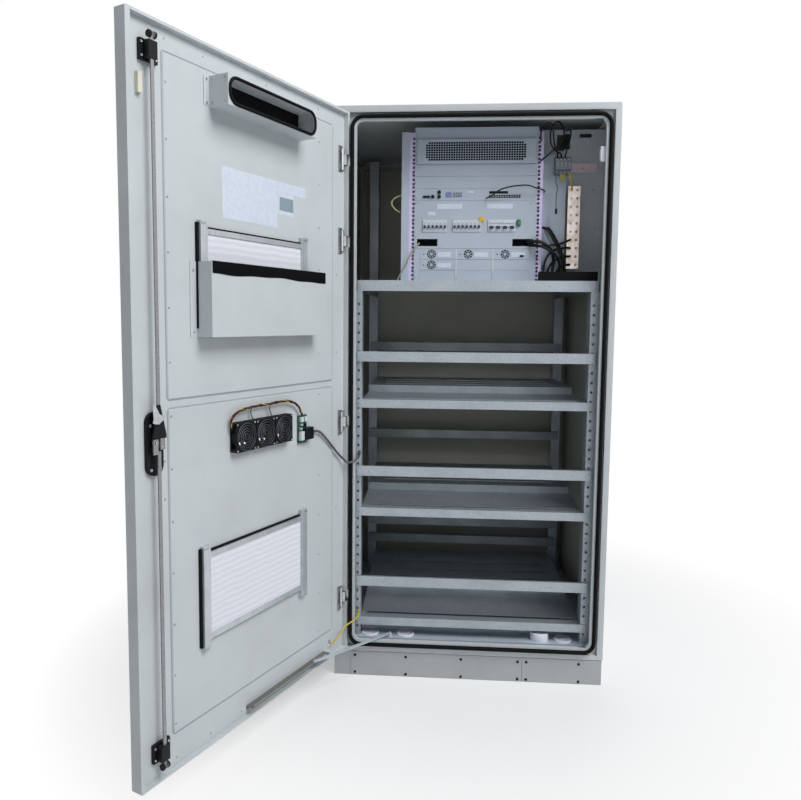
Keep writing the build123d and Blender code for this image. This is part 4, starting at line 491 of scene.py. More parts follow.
def piece(name, grids, finish, body, closed_rows=False, sharp=35.0, slot=None, stands_for=()):
    """Makes one object from grids of points (rows, columns, 3), each closed round its columns.
    Rows that shrink to a point close the ends. Doubles are merged and faces turned outwards."""
    points, faces, first = [], [], 0
    for grid in grids:
        grid = np.asarray(grid, float)
        if grid.ndim == 3:
            grid = grid[None]
        count, rows, columns = grid.shape[:3]
        base = grid_faces(rows, columns, closed_rows, True)
        step = first + np.arange(count)[:, None, None] * rows * columns
        faces.append((base[None] + step).reshape(-1, 4))
        points.append(grid.reshape(-1, 3))
        first += count * rows * columns
    points, faces = np.concatenate(points), np.concatenate(faces)
    data = bpy.data.meshes.new(name)
    data.from_pydata(points, [], faces.tolist())
    work = bmesh.new()
    work.from_mesh(data)
    bmesh.ops.remove_doubles(work, verts=work.verts, dist=2e-6)
    bmesh.ops.dissolve_degenerate(work, edges=work.edges, dist=1e-7)
    bmesh.ops.recalc_face_normals(work, faces=work.faces)
    work.to_mesh(data)
    work.free()
    data.materials.append(finish)
    data.shade_smooth()
    data.set_sharp_from_angle(angle=math.radians(sharp))
    made = bpy.data.objects.new(name, data)
    bpy.context.scene.collection.objects.link(made)
    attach(made, body)
    if stands_for:
        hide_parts(*stands_for)
    return made


def rounded_outline(a0, a1, c0, c1, radius, steps=3):
    """A rectangle's outline with quarter-circle corners: centre of the corner plus radius
    times (cos t, sin t), t over each quarter turn."""
    t = np.linspace(0, math.pi / 2, steps + 1)
    turns = np.concatenate([t, t + math.pi / 2, t + math.pi, t + 1.5 * math.pi])
    centres = np.repeat([(a1 - radius, c1 - radius), (a0 + radius, c1 - radius),
                         (a0 + radius, c0 + radius), (a1 - radius, c0 + radius)], steps + 1, axis=0)
    return centres + radius * np.stack([np.cos(turns), np.sin(turns)], axis=1)


def slab(a0, a1, c0, c1, b0, b1, corner=1.0, bevel=0.4):
    """A block with rounded corners and a bevel all round its front: the rounded outline is
    carried from depth b0 to b1, drawn in by the bevel at b1, and closed to its middle."""
    corner = min(corner, (a1 - a0) / 2.01, (c1 - c0) / 2.01)
    outline = rounded_outline(a0, a1, c0, c1, corner)
    middle = np.array([(a0 + a1) / 2, (c0 + c1) / 2])
    half = np.array([(a1 - a0) / 2, (c1 - c0) / 2])
    way = 1.0 if b1 > b0 else -1.0
    rows = ((0.0, b0), (1.0, b0), (1.0, b1 - way * bevel),
            ((half - bevel * 0.3) / half, b1 - way * bevel * 0.3), ((half - bevel) / half, b1), (0.0, b1))
    return np.stack([np.insert(middle + (outline - middle) * share, 1, depth, axis=1)
                     for share, depth in rows])


def turned(profile, columns=16):
    """A turned shape about the depth axis: radius(t) times (cos u, sin u) at depth(t)."""
    profile = np.asarray(profile, float)
    u = np.linspace(0, 2 * math.pi, columns, endpoint=False)
    r, d = profile[:, :1], profile[:, 1:2]
    return np.stack([r * np.cos(u), np.broadcast_to(d, (len(profile), columns)), r * np.sin(u)], axis=-1)


def screw_head(radius, height):
    """A pan head with a cross recess: a low dome, dished in its middle on four sides by
    the fourth harmonic of the angle."""
    rows = [(0.0, 0.45), (0.22, 0.5), (0.5, 0.98), (0.8, 0.86), (0.97, 0.5), (1.0, 0.0), (0.98, -0.15)]
    grid = turned([(r * radius, h * height) for r, h in rows], 12)
    u = np.linspace(0, 2 * math.pi, 12, endpoint=False)
    grid[2, :, 1] -= 0.3 * height * np.clip(np.cos(4 * u), 0, 1)
    return grid


def rivet_head(radius, height):
    """A domed blind rivet with the small pit of its broken stem."""
    rows = [(0.0, 0.55), (0.24, 0.6), (0.3, 0.98), (0.62, 0.85), (0.9, 0.45), (1.0, 0.0), (0.98, -0.2)]
    return turned([(r * radius, h * height) for r, h in rows], 12)


def heads(shape, places, way=1.0):
    """One shape at many places; way is which way along the depth axis the heads look."""
    shape = shape * np.array([1.0, way, 1.0])
    return shape[None] + np.asarray(places, float)[:, None, None, :]


def sideways(shape):
    """Turns a shape from the depth axis to the x axis."""
    return np.stack([shape[..., 1], shape[..., 0], shape[..., 2]], axis=-1)


def door_piece(name, finish, *grids, body="door", **more):
    """One object of grids that are given in the door's places."""
    return piece(name, [door_places(grid) for grid in grids], finish, body, **more)


def body_piece(name, finish, *grids, body="cabinet", **more):
    """One object of grids that are given in mm of the frame."""
    return piece(name, [body_places(grid) for grid in grids], finish, body, **more)


def door_screws(name, finish, radius, height, places):
    """Screws on the door, whose heads look into the cabinet when it is shut."""
    door_piece(name, finish, heads(screw_head(radius, height), places))


def body_screws(name, finish, radius, height, places):
    """Screws on the cabinet, whose heads look forwards."""
    body_piece(name, finish, heads(screw_head(radius, height), places, -1.0))


def ring_section(outline_of, section):
    """A profile carried round a rounded rectangle: for each point (inset, depth) of the
    section, the rectangle's outline at that inset and depth."""
    return np.stack([np.insert(outline_of(inset), 1, depth, axis=1) for inset, depth in section])


# Cords

def spline_of(name, points, bevel=0.0):
    """A NURBS curve with the route's points as its control points."""
    data = bpy.data.curves.new(name, "CURVE")
    data.dimensions = "3D"
    data.resolution_u = 10
    data.bevel_depth = bevel
    data.bevel_resolution = 4
    data.use_fill_caps = True
    spline = data.splines.new("NURBS")
    spline.points.add(len(points) - 1)
    flat = np.concatenate([points, np.ones((len(points), 1))], axis=1)
    spline.points.foreach_set("co", flat.ravel())
    spline.order_u = 3
    spline.use_endpoint_u = True
    made = bpy.data.objects.new(name, data)
    bpy.context.scene.collection.objects.link(made)
    return made


def line_of(name, points):
    """The points along the NURBS route, as Blender gives them for a curve with no bevel."""
    bare = spline_of(name + "_line", points)
    bpy.context.view_layer.update()
    data = bpy.data.meshes.new_from_object(bare)
    line = np.empty(len(data.vertices) * 3)
    data.vertices.foreach_get("co", line)
    bpy.data.objects.remove(bare)
    return line.reshape(-1, 3)


def tube(line, radius, columns=12, side=(0.0, 0.0, 1.0)):
    """A round tube along a line: centre plus radius times (cos u, sin u) in the plane square
    to the line, its first axis square to a fixed side direction, with closed ends."""
    along = np.gradient(line, axis=0)
    along /= np.linalg.norm(along, axis=1, keepdims=True)
    first = np.cross(along, np.asarray(side))
    first /= np.linalg.norm(first, axis=1, keepdims=True)
    second = np.cross(along, first)
    u = np.linspace(0, 2 * math.pi, columns, endpoint=False)
    grid = line[:, None] + radius * (np.cos(u)[None, :, None] * first[:, None]
                                     + np.sin(u)[None, :, None] * second[:, None])
    start_cap = np.repeat(line[:1, None], columns, axis=1)
    end_cap = np.repeat(line[-1:, None], columns, axis=1)
    return np.concatenate([start_cap, grid, end_cap])


def length_of(line):
    """The length along a line, in metres to the millimetre."""
    return round(float(np.linalg.norm(np.diff(line, axis=0), axis=1).sum()), 3)


def lead(name, points, diameter, finish, body):
    """A lead held at both ends: one smooth curve that rides on a body."""
    made = spline_of(name, points, diameter / 2000)
    made.data.materials.append(finish)
    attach(made, body)
    length_of(line_of(name, points))
    return made


# Routes in mm: the harness as s, z and its branches as s, z and the drop's end, the parts of the
# crossing leads on the door as s, off, z, and all others as x, y, z
WIRE_TURNS = 4.5
WIRE_REACH = 0.0033
LEAD_SIDES = 14
HARNESS = ((634.5, 1020), (640, 1043), (626, 1064), (597, 1074), (559, 1077), (514, 1080),
           (469, 1078), (420, 1082), (372, 1081), (330, 1070), (303, 1051), (291, 1026))
TIES = (0.14, 0.3, 0.47, 0.64, 0.8)
BRANCHES = ((548, 1078, 535), (458, 1078, 444))
FAN_LEAD = ((236, -4, 961), (213, -2, 964), (181, -3, 955), (146, -5, 930), (103, -5, 893),
            (66, -5, 860), (30, -3, 834))
FAN_LEAD_END = ((-446, -482, 820), (-425, -476, 826), (-408, -452, 838), (-407, -426, 848),
                (-411, -412, 852))
EARTH_LEAD = ((104, -9, 160), (94, 2, 168), (72, 9, 184), (48, 7, 199))
EARTH_LEAD_END = ((-446, -483, 210), (-425, -475, 220), (-408, -452, 230), (-407, -427, 236),
                  (-411, -412, 240))
FIXED_LEADS = (
    ("left_loop_lead", 6.0, CABLE_BEIGE, (
        (-269, -298, 1812), (-290, -300, 1806), (-309, -302, 1783), (-292, -300, 1757),
        (-269, -298, 1747))),
    ("black_drop_lead", 12.0, CABLE_BLACK, (
        (205, -303, 1636), (232, -326, 1640), (266, -330, 1630), (296, -318, 1605), (305, -300, 1566),
        (300, -296, 1527), (302, -294, 1489))),
    ("black_drop_lead_outer", 10.0, CABLE_BLACK, (
        (212, -303, 1630), (244, -336, 1622), (282, -338, 1606), (316, -322, 1580), (328, -306, 1545),
        (322, -300, 1514), (324, -297, 1489))),
    ("left_drop_lead", 5.0, CABLE_BEIGE, (
        (-198, -298, 1634), (-206, -315, 1625), (-233, -316, 1588), (-247, -315, 1548),
        (-270, -314, 1516), (-282, -310, 1489))),
    ("controller_lead", 5.0, CABLE_BLACK, (
        (50, -303.5, 1799), (56, -318, 1800), (74, -328, 1808), (94, -331, 1824), (123, -331, 1834),
        (160, -331, 1840), (201, -330, 1842), (228, -327, 1832), (252, -318, 1828), (266, -296, 1827),
        (268, -271, 1827))),
    ("terminal_lead", 3.0, CABLE_GREY, (
        (308, -293, 1894), (308, -304, 1889), (301, -306, 1856), (313, -306, 1834), (305, -305, 1806),
        (308, -304, 1752))),
    ("top_loop_lead", 5.5, CABLE_BLACK, (
        (247, -300, 2008), (240, -322, 2026), (250, -344, 2060), (278, -348, 2060), (286, -338, 2016),
        (292, -325, 1978), (308, -312, 1956), (308, -296, 1945))),
    ("top_loop_lead_wide", 5.5, CABLE_BLACK, (
        (247, -300, 1935), (262, -318, 1944), (290, -332, 1967), (324, -340, 2006), (320, -347, 2046),
        (296, -348, 2070), (272, -342, 2036), (276, -334, 1984), (300, -322, 1960), (322, -312, 1958),
        (322, -296, 1945))),
    ("top_drop_lead", 5.5, CABLE_BLACK, (
        (352, -213, 2062), (354, -262, 2058), (356, -308, 2034), (343, -322, 1992), (337, -310, 1960),
        (337, -296, 1945))),
    ("bar_lead_upper", 8.0, CABLE_BLACK, (
        (372, -257, 1620), (358, -268, 1621), (341, -279, 1618), (310, -284, 1612), (284, -287, 1592),
        (270, -290, 1552), (268, -290, 1512), (268, -289, 1489))),
    ("bar_lead_middle", 8.0, CABLE_BLACK, (
        (372, -257, 1589), (356, -268, 1589), (336, -278, 1585), (308, -281, 1572), (289, -283, 1545),
        (284, -283, 1512), (284, -283, 1489))),
    ("bar_lead_lower", 8.0, CABLE_BLACK, (
        (372, -257, 1558), (356, -267, 1557), (338, -277, 1549), (318, -279, 1530), (311, -279, 1508),
        (311, -279, 1489))),
    ("bar_earth_lead", 7.0, CABLE_YELLOW, (
        (351, -293, 1892), (352, -307, 1886), (358, -306, 1868), (368, -288, 1848), (372, -257, 1836))),
    ("bar_cross_lead", 8.0, CABLE_BLACK, (
        (214, -303, 1624), (236, -320, 1621), (264, -330, 1621), (302, -322, 1625), (336, -292, 1634),
        (354, -270, 1644), (372, -257, 1651))),
    ("thick_drop_lead", 9.0, CABLE_BLACK, (
        (262, -278, 1692), (270, -292, 1694), (287, -298, 1674), (303, -298, 1645), (327, -297, 1604),
        (337, -295, 1566), (340, -292, 1526), (340, -291, 1489))),
    ("thick_drop_lead_right", 9.0, CABLE_BLACK, (
        (277, -275, 1692), (285, -284, 1694), (300, -288, 1672), (314, -288, 1647), (334, -288, 1608),
        (347, -286, 1566), (351, -284, 1526), (351, -283, 1489))),
)


def fixed_leads():
    """The leads between the rack, its plate and the deck. The thin ones hang limp."""
    for name, diameter, finish, points in FIXED_LEADS:
        made = lead(name, body_places(points), diameter, finish, "cabinet")
        if name == "left_loop_lead":
            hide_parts("wiring")
    body_piece("terminal_lead_plug", BLACK, slab(304, 312, 1740, 1760, -300, -308, 2.0, 1.0))


def fan_harness():
    """The fans' bound leads: a dark trunk, two red wires and a yellow one wound round it, with
    ties, and two drops to the fans."""
    points = door_places([(s, 0.0, z) for s, z in HARNESS])
    trunk = lead("harness_trunk", points, 7.0, CABLE_BLACK, "door")
    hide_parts("fan_harness")
    line = line_of("harness", points)
    share = np.linspace(0, 1, len(line))
    way = np.array([math.sin(DOOR_TURN), math.cos(DOOR_TURN), 0.0])
    along = np.gradient(line, axis=0)
    along /= np.linalg.norm(along, axis=1, keepdims=True)
    across = np.cross(along, way)
    for i, finish in enumerate((CABLE_RED, CABLE_RED, CABLE_YELLOW)):
        turn = share * 2 * math.pi * WIRE_TURNS + 2.1 * i
        strand = line + WIRE_REACH * (np.cos(turn)[:, None] * way + np.sin(turn)[:, None] * across)
        piece("harness_wire_%d" % i, [tube(strand[2:-2], 0.0011, 8, (0.3, 0.2, 1.0))], finish, "door")
    for i, (s, z, end) in enumerate(BRANCHES):
        drop = door_places([(s, 0.0, z - 4.2), (s + 6, -3.0, z - 16), (end, -5.0, 1040.0)])
        lead("harness_drop_%d" % i, drop, 3.5, CABLE_GREY, "door")
    ties = []
    for at in TIES:
        k = int(at * (len(line) - 1))
        ties.append(tube(line[k - 1:k + 2], 0.0046, 12, way))
    piece("harness_ties", ties, BLACK, "door")


def crossing_leads():
    """The two leads that cross the hinge. Each is a tube on the route's spline from the door to
    the cabinet, fixed to neither body."""
    fan = np.concatenate([door_places(FAN_LEAD), body_places(FAN_LEAD_END)])
    earth = np.concatenate([door_places(EARTH_LEAD), body_places(EARTH_LEAD_END)])
    for name, points, diameter, finish in (("fan_lead", fan, 8.0, CABLE_GREY),
                                           ("earth_lead", earth, 6.0, CABLE_YELLOW)):
        line = line_of(name, points)
        made = piece(name, [tube(line, diameter / 2000, LEAD_SIDES, (0.25, -0.1, 1.0))], finish, "cabinet")
        made.parent = None
        del made["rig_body"]
        if name == "earth_lead":
            made.data.materials.append(CABLE_GREEN)
            side = np.arange(len(made.data.polygons)) % LEAD_SIDES
            green = ((side > 3) & (side < 8)).astype(np.int32)
            made.data.polygons.foreach_set("material_index", green)
        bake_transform(made)
        if name == "fan_lead":
            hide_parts("hinge_cables")


fixed_leads()
fan_harness()
crossing_leads()


# Gaskets

def frame_seal():
    """The rubber seal round the opening: a bulb on a foot, carried round the lip. Its front
    follows 6.35 - 6.2 cos a across and 463.2 + 6 sin a forwards, a from -0.15 to 1.15 pi."""
    x0, x1, z0, z1 = -430.3, 457.3, 133.2, 2052.3

    def outline(inset):
        return rounded_outline(x0 + inset, x1 - inset, z0 + inset, z1 - inset, 32.3 - inset, 10)

    t = np.linspace(-0.15 * math.pi, 1.15 * math.pi, 11)
    section = [(-6.35 + 6.2 * math.cos(a), -463.2 - 6.0 * math.sin(a)) for a in t]
    section += [(-12.6, -452.0), (-12.6, -437.0), (-0.15, -437.0), (-0.15, -452.0)]
    body_piece("frame_seal", FOAM, ring_section(outline, section), closed_rows=True, slot="black_rubber",
               stands_for=("frame_gasket",))


def duct_seal():
    """The rubber ring on the duct's mouth, a half-round bead carried round its opening, and a black sheet
    in the duct that is painted shade.
    """
    s0, s1, z0, z1 = 290.0, 701.0, 1913.0, 1995.0

    def outline(inset):
        return rounded_outline(s0 + inset, s1 - inset, z0 + inset, z1 - inset, 36.0 - inset, 8)

    base = PAD + 69.0 + 0.3
    t = np.linspace(0, math.pi, 9)
    section = [(6.5 - 4.5 * math.cos(a), base + 1.0 + 4.5 * math.sin(a)) for a in t]
    section += [(11.0, base), (2.0, base)]
    # The black sheet across the duct is painted shade, darkening it where shade falls.
    door_piece("duct_painted_shade_sheet", FELT_AND_SHADE_BACKING,
               slab(s0 + 2.2, s1 - 2.2, z0 + 2.2, z1 - 2.2, PAD + 0.1, PAD + 0.9, 1.0, 0.2))
    door_piece("duct_seal", FOAM, ring_section(outline, section), closed_rows=True, slot="black_rubber",
               stands_for=("duct_gasket",))


def pocket_trim():
    """The black tape over the pocket's front wall: two skins joined over the top, whose lower
    edge waves by a few mm as tape does when it is pressed on by hand."""
    s = np.linspace(219.0, 755.0, 60)
    wave = 2.2 * np.sin(s / 61.0) + 1.1 * np.sin(s / 23.0 + 1.0)
    front = PAD + 56.0
    low = 1462.0 + wave
    inner_low = 1466.0 + wave * 0.5
    swell = 0.25 * np.sin(s / 17.0)
    rows = ((0.35, low), (1.35 + swell, low + 0.4), (1.45 + swell, low + 14), (1.4 + swell * 0.5, 1493.0),
            (0.7, 1495.6), (-1.4, 1495.9), (-3.2, 1494.6), (-3.7, 1480.0), (-3.6, inner_low),
            (-2.35, inner_low), (-2.3, 1494.3), (0.3, 1494.3))
    grid = np.stack([np.stack([s, front + b + 0 * s, z + 0 * s], axis=1) for b, z in rows], axis=1)
    middle = grid.mean(axis=1, keepdims=True)
    grid = np.concatenate([np.repeat(middle[:1], len(rows), 1), grid, np.repeat(middle[-1:], len(rows), 1)])
    door_piece("pocket_trim", BLACK_MAT, grid, slot="black_rubber", stands_for=("document_box_trim",))


def field_seams():
    """Grey beads along the edges of the liner's two raised fields, 4 mm wide, 1 mm high and
    hollow in the middle: painted shade and highlight for the lines along the fields' steps."""
    rings = []
    for z0, z1 in FIELD_ENDS:

        def outline(inset):
            return rounded_outline(FIELD_SIDES[0] + inset, FIELD_SIDES[1] - inset, z0 + inset, z1 - inset,
                                   8.0 - inset, 4)

        rings.append(ring_section(outline, [(-3.8, LINER + 0.05), (-3.3, LINER + 0.9), (-2.0, LINER + 0.6),
                                            (-0.6, LINER + 1.4), (-0.1, LINER + 0.05)]))
    door_piece("field_seams", SEAM_SHADE_AND_HIGHLIGHT, *rings, closed_rows=True)


frame_seal()
duct_seal()
pocket_trim()
field_seams()


# Fasteners

def door_fasteners():
    """Blind rivets of the door's liner and the screws of what is fixed on it."""
    pad_rivets = [(s, PAD, z) for s in (858.0, 175.0) for z in RIVET_ROWS]
    flat_rivets = [(s, LINER, z) for s, z in (
        (858.0, 2042.0), (719.0, 2042.0), (450.0, 2042.0), (175.0, 2042.0), (880.0, 968.0), (880.0, 866.0),
        (587.0, 140.0), (722.0, 139.0), (855.0, 139.0), (60.0, 1500.0), (60.0, 1226.0), (60.0, 660.0))]
    door_piece("liner_rivets", ZINC_SCREW, heads(rivet_head(3.6, 1.5), pad_rivets))
    door_piece("liner_flush_rivets", ZINC_SCREW, heads(rivet_head(3.6, 0.6), flat_rivets))
    flange = PAD + 0.3 + 2.0
    screws = [(711, flange, 1985), (711, flange, 1923), (771, flange, 1470), (771, flange, 1304)]
    side = [(701.3, off, z) for off in (2.0, 46.0) for z in (1985, 1924)]
    door_screws("door_box_screws", ZINC_SCREW, 3.6, 2.2, screws)
    door_piece("duct_side_screws", ZINC_SCREW, heads(sideways(screw_head(3.0, 1.8)), side))
    latch = [(s, -6.0, z) for z in (1068.0, 954.0) for s in (934.0, 904.0)]
    door_screws("latch_screws", ZINC, 4.4, 2.6, latch)
    guides = [(s, -6.0, z) for s in (893.0, 939.0) for z in (178, 210, 1975, 2007)]
    door_screws("guide_screws", ZINC, 3.4, 2.0, guides)
    channel = [(s, LINER + 2.3, 137.0) for s in (165, 300, 430, 545)]
    door_screws("channel_screws", ZINC_SCREW, 2.8, 1.6, channel)


def hinge_screws():
    """Two screws in each end of each hinge leaf, on the frame and on the liner."""
    fixed, moving = [], []
    for z in HINGE_HEIGHTS:
        for dz in (-36.0, -27.0, 27.0, 36.0):
            fixed.append((-459.0, -439.3, z + dz))
            moving.append((46.5, LINER + 3.3, z + dz))
    body_screws("hinge_screws_frame", ZINC_SCREW, 2.9, 1.5, fixed)
    door_screws("hinge_screws_door", ZINC_SCREW, 2.6, 1.5, moving)


def body_fasteners():
    """Screws of the plinth covers, the retaining bars, the shelves and the mid beam."""
    covers = [(x, PLINTH_FACE, z) for x, high, low in
              ((-419, 78, 12), (-227, 77, 10), (-20, 77, 10), (190, 77, 10), (222, 77, 10), (414, 77, 10))
              for z in (high, low)]
    body_screws("plinth_screws", BLACK, 5.2, 2.4, covers)
    bars = [(x, BARS_FACE, z) for z in (357, 780, 1208) for x in (-417, -371, -314, 312, 374, 436)]
    body_screws("bar_screws", ZINC_SCREW, 4.0, 1.8, bars)
    lips = [(x, SHELVES_FACE, z) for z in (1033, 623, 198) for x in (-412, 432)]
    body_screws("shelf_screws", ZINC_SCREW, 4.0, 1.8, lips)
    beam = [(x, BEAM_FACE, 1468.5) for x in (-410, -270, 278, 438)]
    body_screws("beam_screws", ZINC_SCREW, 3.8, 1.8, beam)


door_fasteners()
hinge_screws()
body_fasteners()


# Rack faces

def row(index):
    """The foot of a rack unit above the module shelf."""
    return RACK_BASE + SUBRACK + UNIT * index


def cell(column, level):
    """The low corner of a module's place: x and z."""
    left = RACK_MIDDLE - MODULE_WIDTH * 1.5 + 3.0
    return left + MODULE_WIDTH * column, RACK_BASE + 2.0 + MODULE_HEIGHT * (2 - level)


def rack_screws():
    """Captive screws at the ends of each rack face."""
    heights = [row(i) + up for i, up in ((9, 22), (8, -12), (7, 12), (6, 22), (5, 22), (4, 34), (4, 10),
                                         (4, -12), (0, 40))] + [RACK_BASE + 112, RACK_BASE + 14]
    places = [(x, RACK_FACE, z) for z in heights for x in (-214.5, 234.5)]
    places += [(-206.0, RACK_FACE, row(4) - 10), (215.0, RACK_FACE, row(4) - 10)]
    body_screws("rack_screws", ZINC_SCREW, 2.6, 1.8, places)


def breaker_faces():
    """Toggles, test windows and strips over the row of breakers, and the tags beside them."""
    zb = BREAKER_ROW
    nose = RACK_FACE - 3.0
    lefts = [-186.0 + 15.2 * i for i in range(6)] + [-74.0 + 15.2 * i for i in range(7)]
    for name, finish, left, right, low, high, back, proud, corner, bevel in (
            ("breaker_toggles", TOGGLE_BLUE, 3.2, 11.6, -9.2, 1.0, 0.1, 8.2, 1.5, 1.2),
            ("breaker_strips", LABEL, 1.4, 13.4, 13.0, 20.5, 0.02, 0.6, 0.6, 0.2),
            ("breaker_windows", KEY_GREY, 5.4, 9.4, 5.5, 8.5, 0.02, 0.5, 0.5, 0.2)):
        body_piece(name, finish, *[slab(x + left, x + right, zb + low, zb + high, nose - back, nose - proud,
                                        corner, bevel) for x in lefts])
    poles = [58.0 + 25.4 * i for i in range(4)]
    bands = [slab(x + 2.0, x + 23.4, zb + 12.5, zb + 20.0, nose - 0.02, nose - 0.6, 0.8, 0.2)
             for x in poles]
    body_piece("main_breaker_bands", LABEL, *bands)
    body_piece("yellow_tag", TAG_YELLOW,
               slab(24.0, 44.0, zb + 15.0, zb + 32.0, RACK_FACE - 0.05, nose - 1.2, 2.0, 0.3))
    green = slab(164.5, 179.0, 1695.0, 1720.0, RACK_FACE - 0.05, RACK_FACE - 7.0, 4.0, 1.5)
    body_piece("green_indicator", TAG_GREEN, green)
    body_piece("green_indicator_lamp", LAMP_GREEN,
               slab(168.5, 175.0, 1704.0, 1711.0, RACK_FACE - 6.9, RACK_FACE - 8.4, 3.0, 0.8))


def rack_labels():
    """Bare label plates on the rack's faces."""
    face = RACK_FACE - 0.05
    plates = [slab(*edges, face, face - 0.5, 1.0, 0.15) for edges in
              ((-133, -39, 1760, 1779), (-167, -138, 1736, 1750), (53, 149, 1761, 1779),
               (-20, 4, 1817, 1826))]
    for column, level in MODULES:
        x, z = cell(column, level)
        plates.append(slab(x + 66, x + 116, z + 9, z + 26, face - 1.0, face - 1.5, 1.0, 0.15))
    body_piece("bare_rack_labels", LABEL, *plates, sharp=12.0)


def controller_face():
    """Ports, round connectors, screen, keys and lamps of the controller."""
    z0 = row(4)
    zc = z0 + (UNIT - 0.8) / 2
    face = RACK_FACE
    ports = [slab(-186.4, -159.6, zc - 12.4, zc - 4.6, face - 0.1, face - 4.5, 2.0, 0.6),
             slab(60, 176, z0 + 7.6, z0 + 20.0, face + 6.0, face + 4.0, 1.0, 0.3),
             slab(60, 130, z0 + 23.6, z0 + 33.9, face + 6.0, face + 4.0, 1.0, 0.3)]
    body_piece("controller_ports", BLACK, *ports)
    plug = [(0.0, 4.4), (4.2, 4.4), (4.8, 5.0), (6.3, 5.0), (6.6, 4.4), (6.6, 0.0), (6.4, -0.5)]
    rounds = heads(turned(plug, 20), [(x, face, zc + up) for x, up in ((-150, -8), (-126, -8), (-126, 8))],
                   -1.0)
    body_piece("controller_round_ports", BLACK, rounds)
    body_piece("controller_screen", SCREEN,
               slab(-101, -79, zc - 10, zc + 8, face - 2.0, face - 2.7, 1.0, 0.3))
    keys = [slab(-73 + 9 * i - 0.3, -67 + 9 * i + 0.3, zc - 9.3 + 10 * j, zc - 2.7 + 10 * j,
                 face - 1.0, face - 3.4, 1.2, 0.6) for i in range(4) for j in range(2)]
    body_piece("controller_keys", KEY_GREY, *keys)
    contacts = [slab(64 + 9.2 * i, 70 + 9.2 * i, z0 + 10.0, z0 + 17.6, face + 4.0, face + 1.0, 0.8, 0.4)
                for i in range(12)]
    body_piece("controller_clamps", KEY_GREY, *contacts)
    lamps = [(-18 + 10 * i, face, zc + 4.0) for i in range(3)]
    lamps += [(cell(*place)[0] + 12.5, face - 1.0, cell(*place)[1] + 30.0) for place in MODULES]
    dome = turned([(0.0, 1.1), (0.9, 0.9), (1.5, 0.3), (1.5, -0.2)], 10)
    body_piece("status_lamps", LAMP_GREEN, heads(dome, lamps, -1.0))
    slots = []
    for column, level in MODULES:
        x, z = cell(column, level)
        slots.append(slab(x + 10.4, x + 15.2, z + 16.0, z + 20.6, face + 0.6, face + 0.2, 0.6, 0.1))
    x, z = cell(2, 0)
    slots.append(slab(x + 96, x + 112, z + 8, z + 16, face - 1.0, face - 1.8, 1.0, 0.3))
    body_piece("module_ports", BLACK, *slots)


def module_grilles():
    """Dark wells behind the modules' round grilles, and thin bright trims between columns."""
    wells = []
    for column, level in MODULES:
        x, z = cell(column, level)
        wells.append(turned([(0.0, 0.0), (16.6, 0.0), (16.6, -0.4)], 28)
                     + np.array([x + 0.3 + 42.0, RACK_FACE + 1.9, z + 0.3 + 18.8]))
    body_piece("module_fan_wells", BLACK, *wells)
    trims = []
    for column in (1, 2):
        x = cell(column, 0)[0] - 3.0
        trims.append(slab(x - 2.6, x + 2.6, RACK_BASE + 2, RACK_BASE + 120, RACK_FACE, RACK_FACE - 1.4,
                          1.5, 0.7))
    body_piece("module_dividers", ALLOY, *trims)


def vent_mesh():
    """The vent's proud tray with its fine mesh. Each cell is a square drawn in to a square hole,
    centre plus half width times the outline of a unit square, except the four corner cells."""
    z0, z1 = row(7), row(9) - 0.8
    face, back = -312.3, -300.3
    columns, rows = 40, 8
    x0, low, pitch_x, pitch_z = -178.0, z0 + 10.0, 370.0 / columns, 69.0 / rows
    u = np.arange(8) * math.pi / 4
    square = np.stack([np.clip(np.cos(u) * 2, -1, 1), np.clip(np.sin(u) * 2, -1, 1)], axis=1)
    i, j = np.meshgrid(np.arange(columns), np.arange(rows), indexing="ij")
    from_side, from_end = np.minimum(i, columns - 1 - i).ravel(), np.minimum(j, rows - 1 - j).ravel()
    open_cell = (from_side + from_end) > 0
    centre = np.stack([x0 + (i.ravel() + 0.5) * pitch_x, low + (j.ravel() + 0.5) * pitch_z], axis=1)
    half = np.where(open_cell, 1.0, 0.0)[:, None, None] * np.array([3.85, 3.6])
    outer = centre[:, None] + square[None] * np.array([pitch_x, pitch_z]) / 2
    inner = centre[:, None] + half * square[None] * 0.98
    rings = np.stack([np.insert(flat, 1, depth, axis=2) for flat, depth in
                      ((outer, face), (inner, face), (inner, face + 1.2))], axis=1)
    x1, high = x0 + 370.0, low + 69.0
    outline, hole = rounded_outline(-209.0, 229.0, z0, z1, 1.5), rounded_outline(x0, x1, low, high, 0.05)
    middle = outline.mean(axis=0)
    tray = np.stack([np.insert(flat, 1, depth, axis=1) for flat, depth in
                     ((outline, back), (outline, face + 0.8), (middle + (outline - middle) * 0.998, face),
                      (hole, face))])
    ears = slab(-218.0, 238.0, z0, z1, back, back - 2.0, 1.0, 0.4)
    body_piece("vent_tray", ENAMEL, rings, tray, ears, sharp=25.0, slot="rack_paint",
               stands_for=("vent_panel",))
    felt = slab(x0 - 1, x1 + 1, low - 1, high + 1, -303.0, -304.0, 1.0, 0.2)
    body_piece("vent_felt", FELT_AND_SHADE_BACKING, felt)


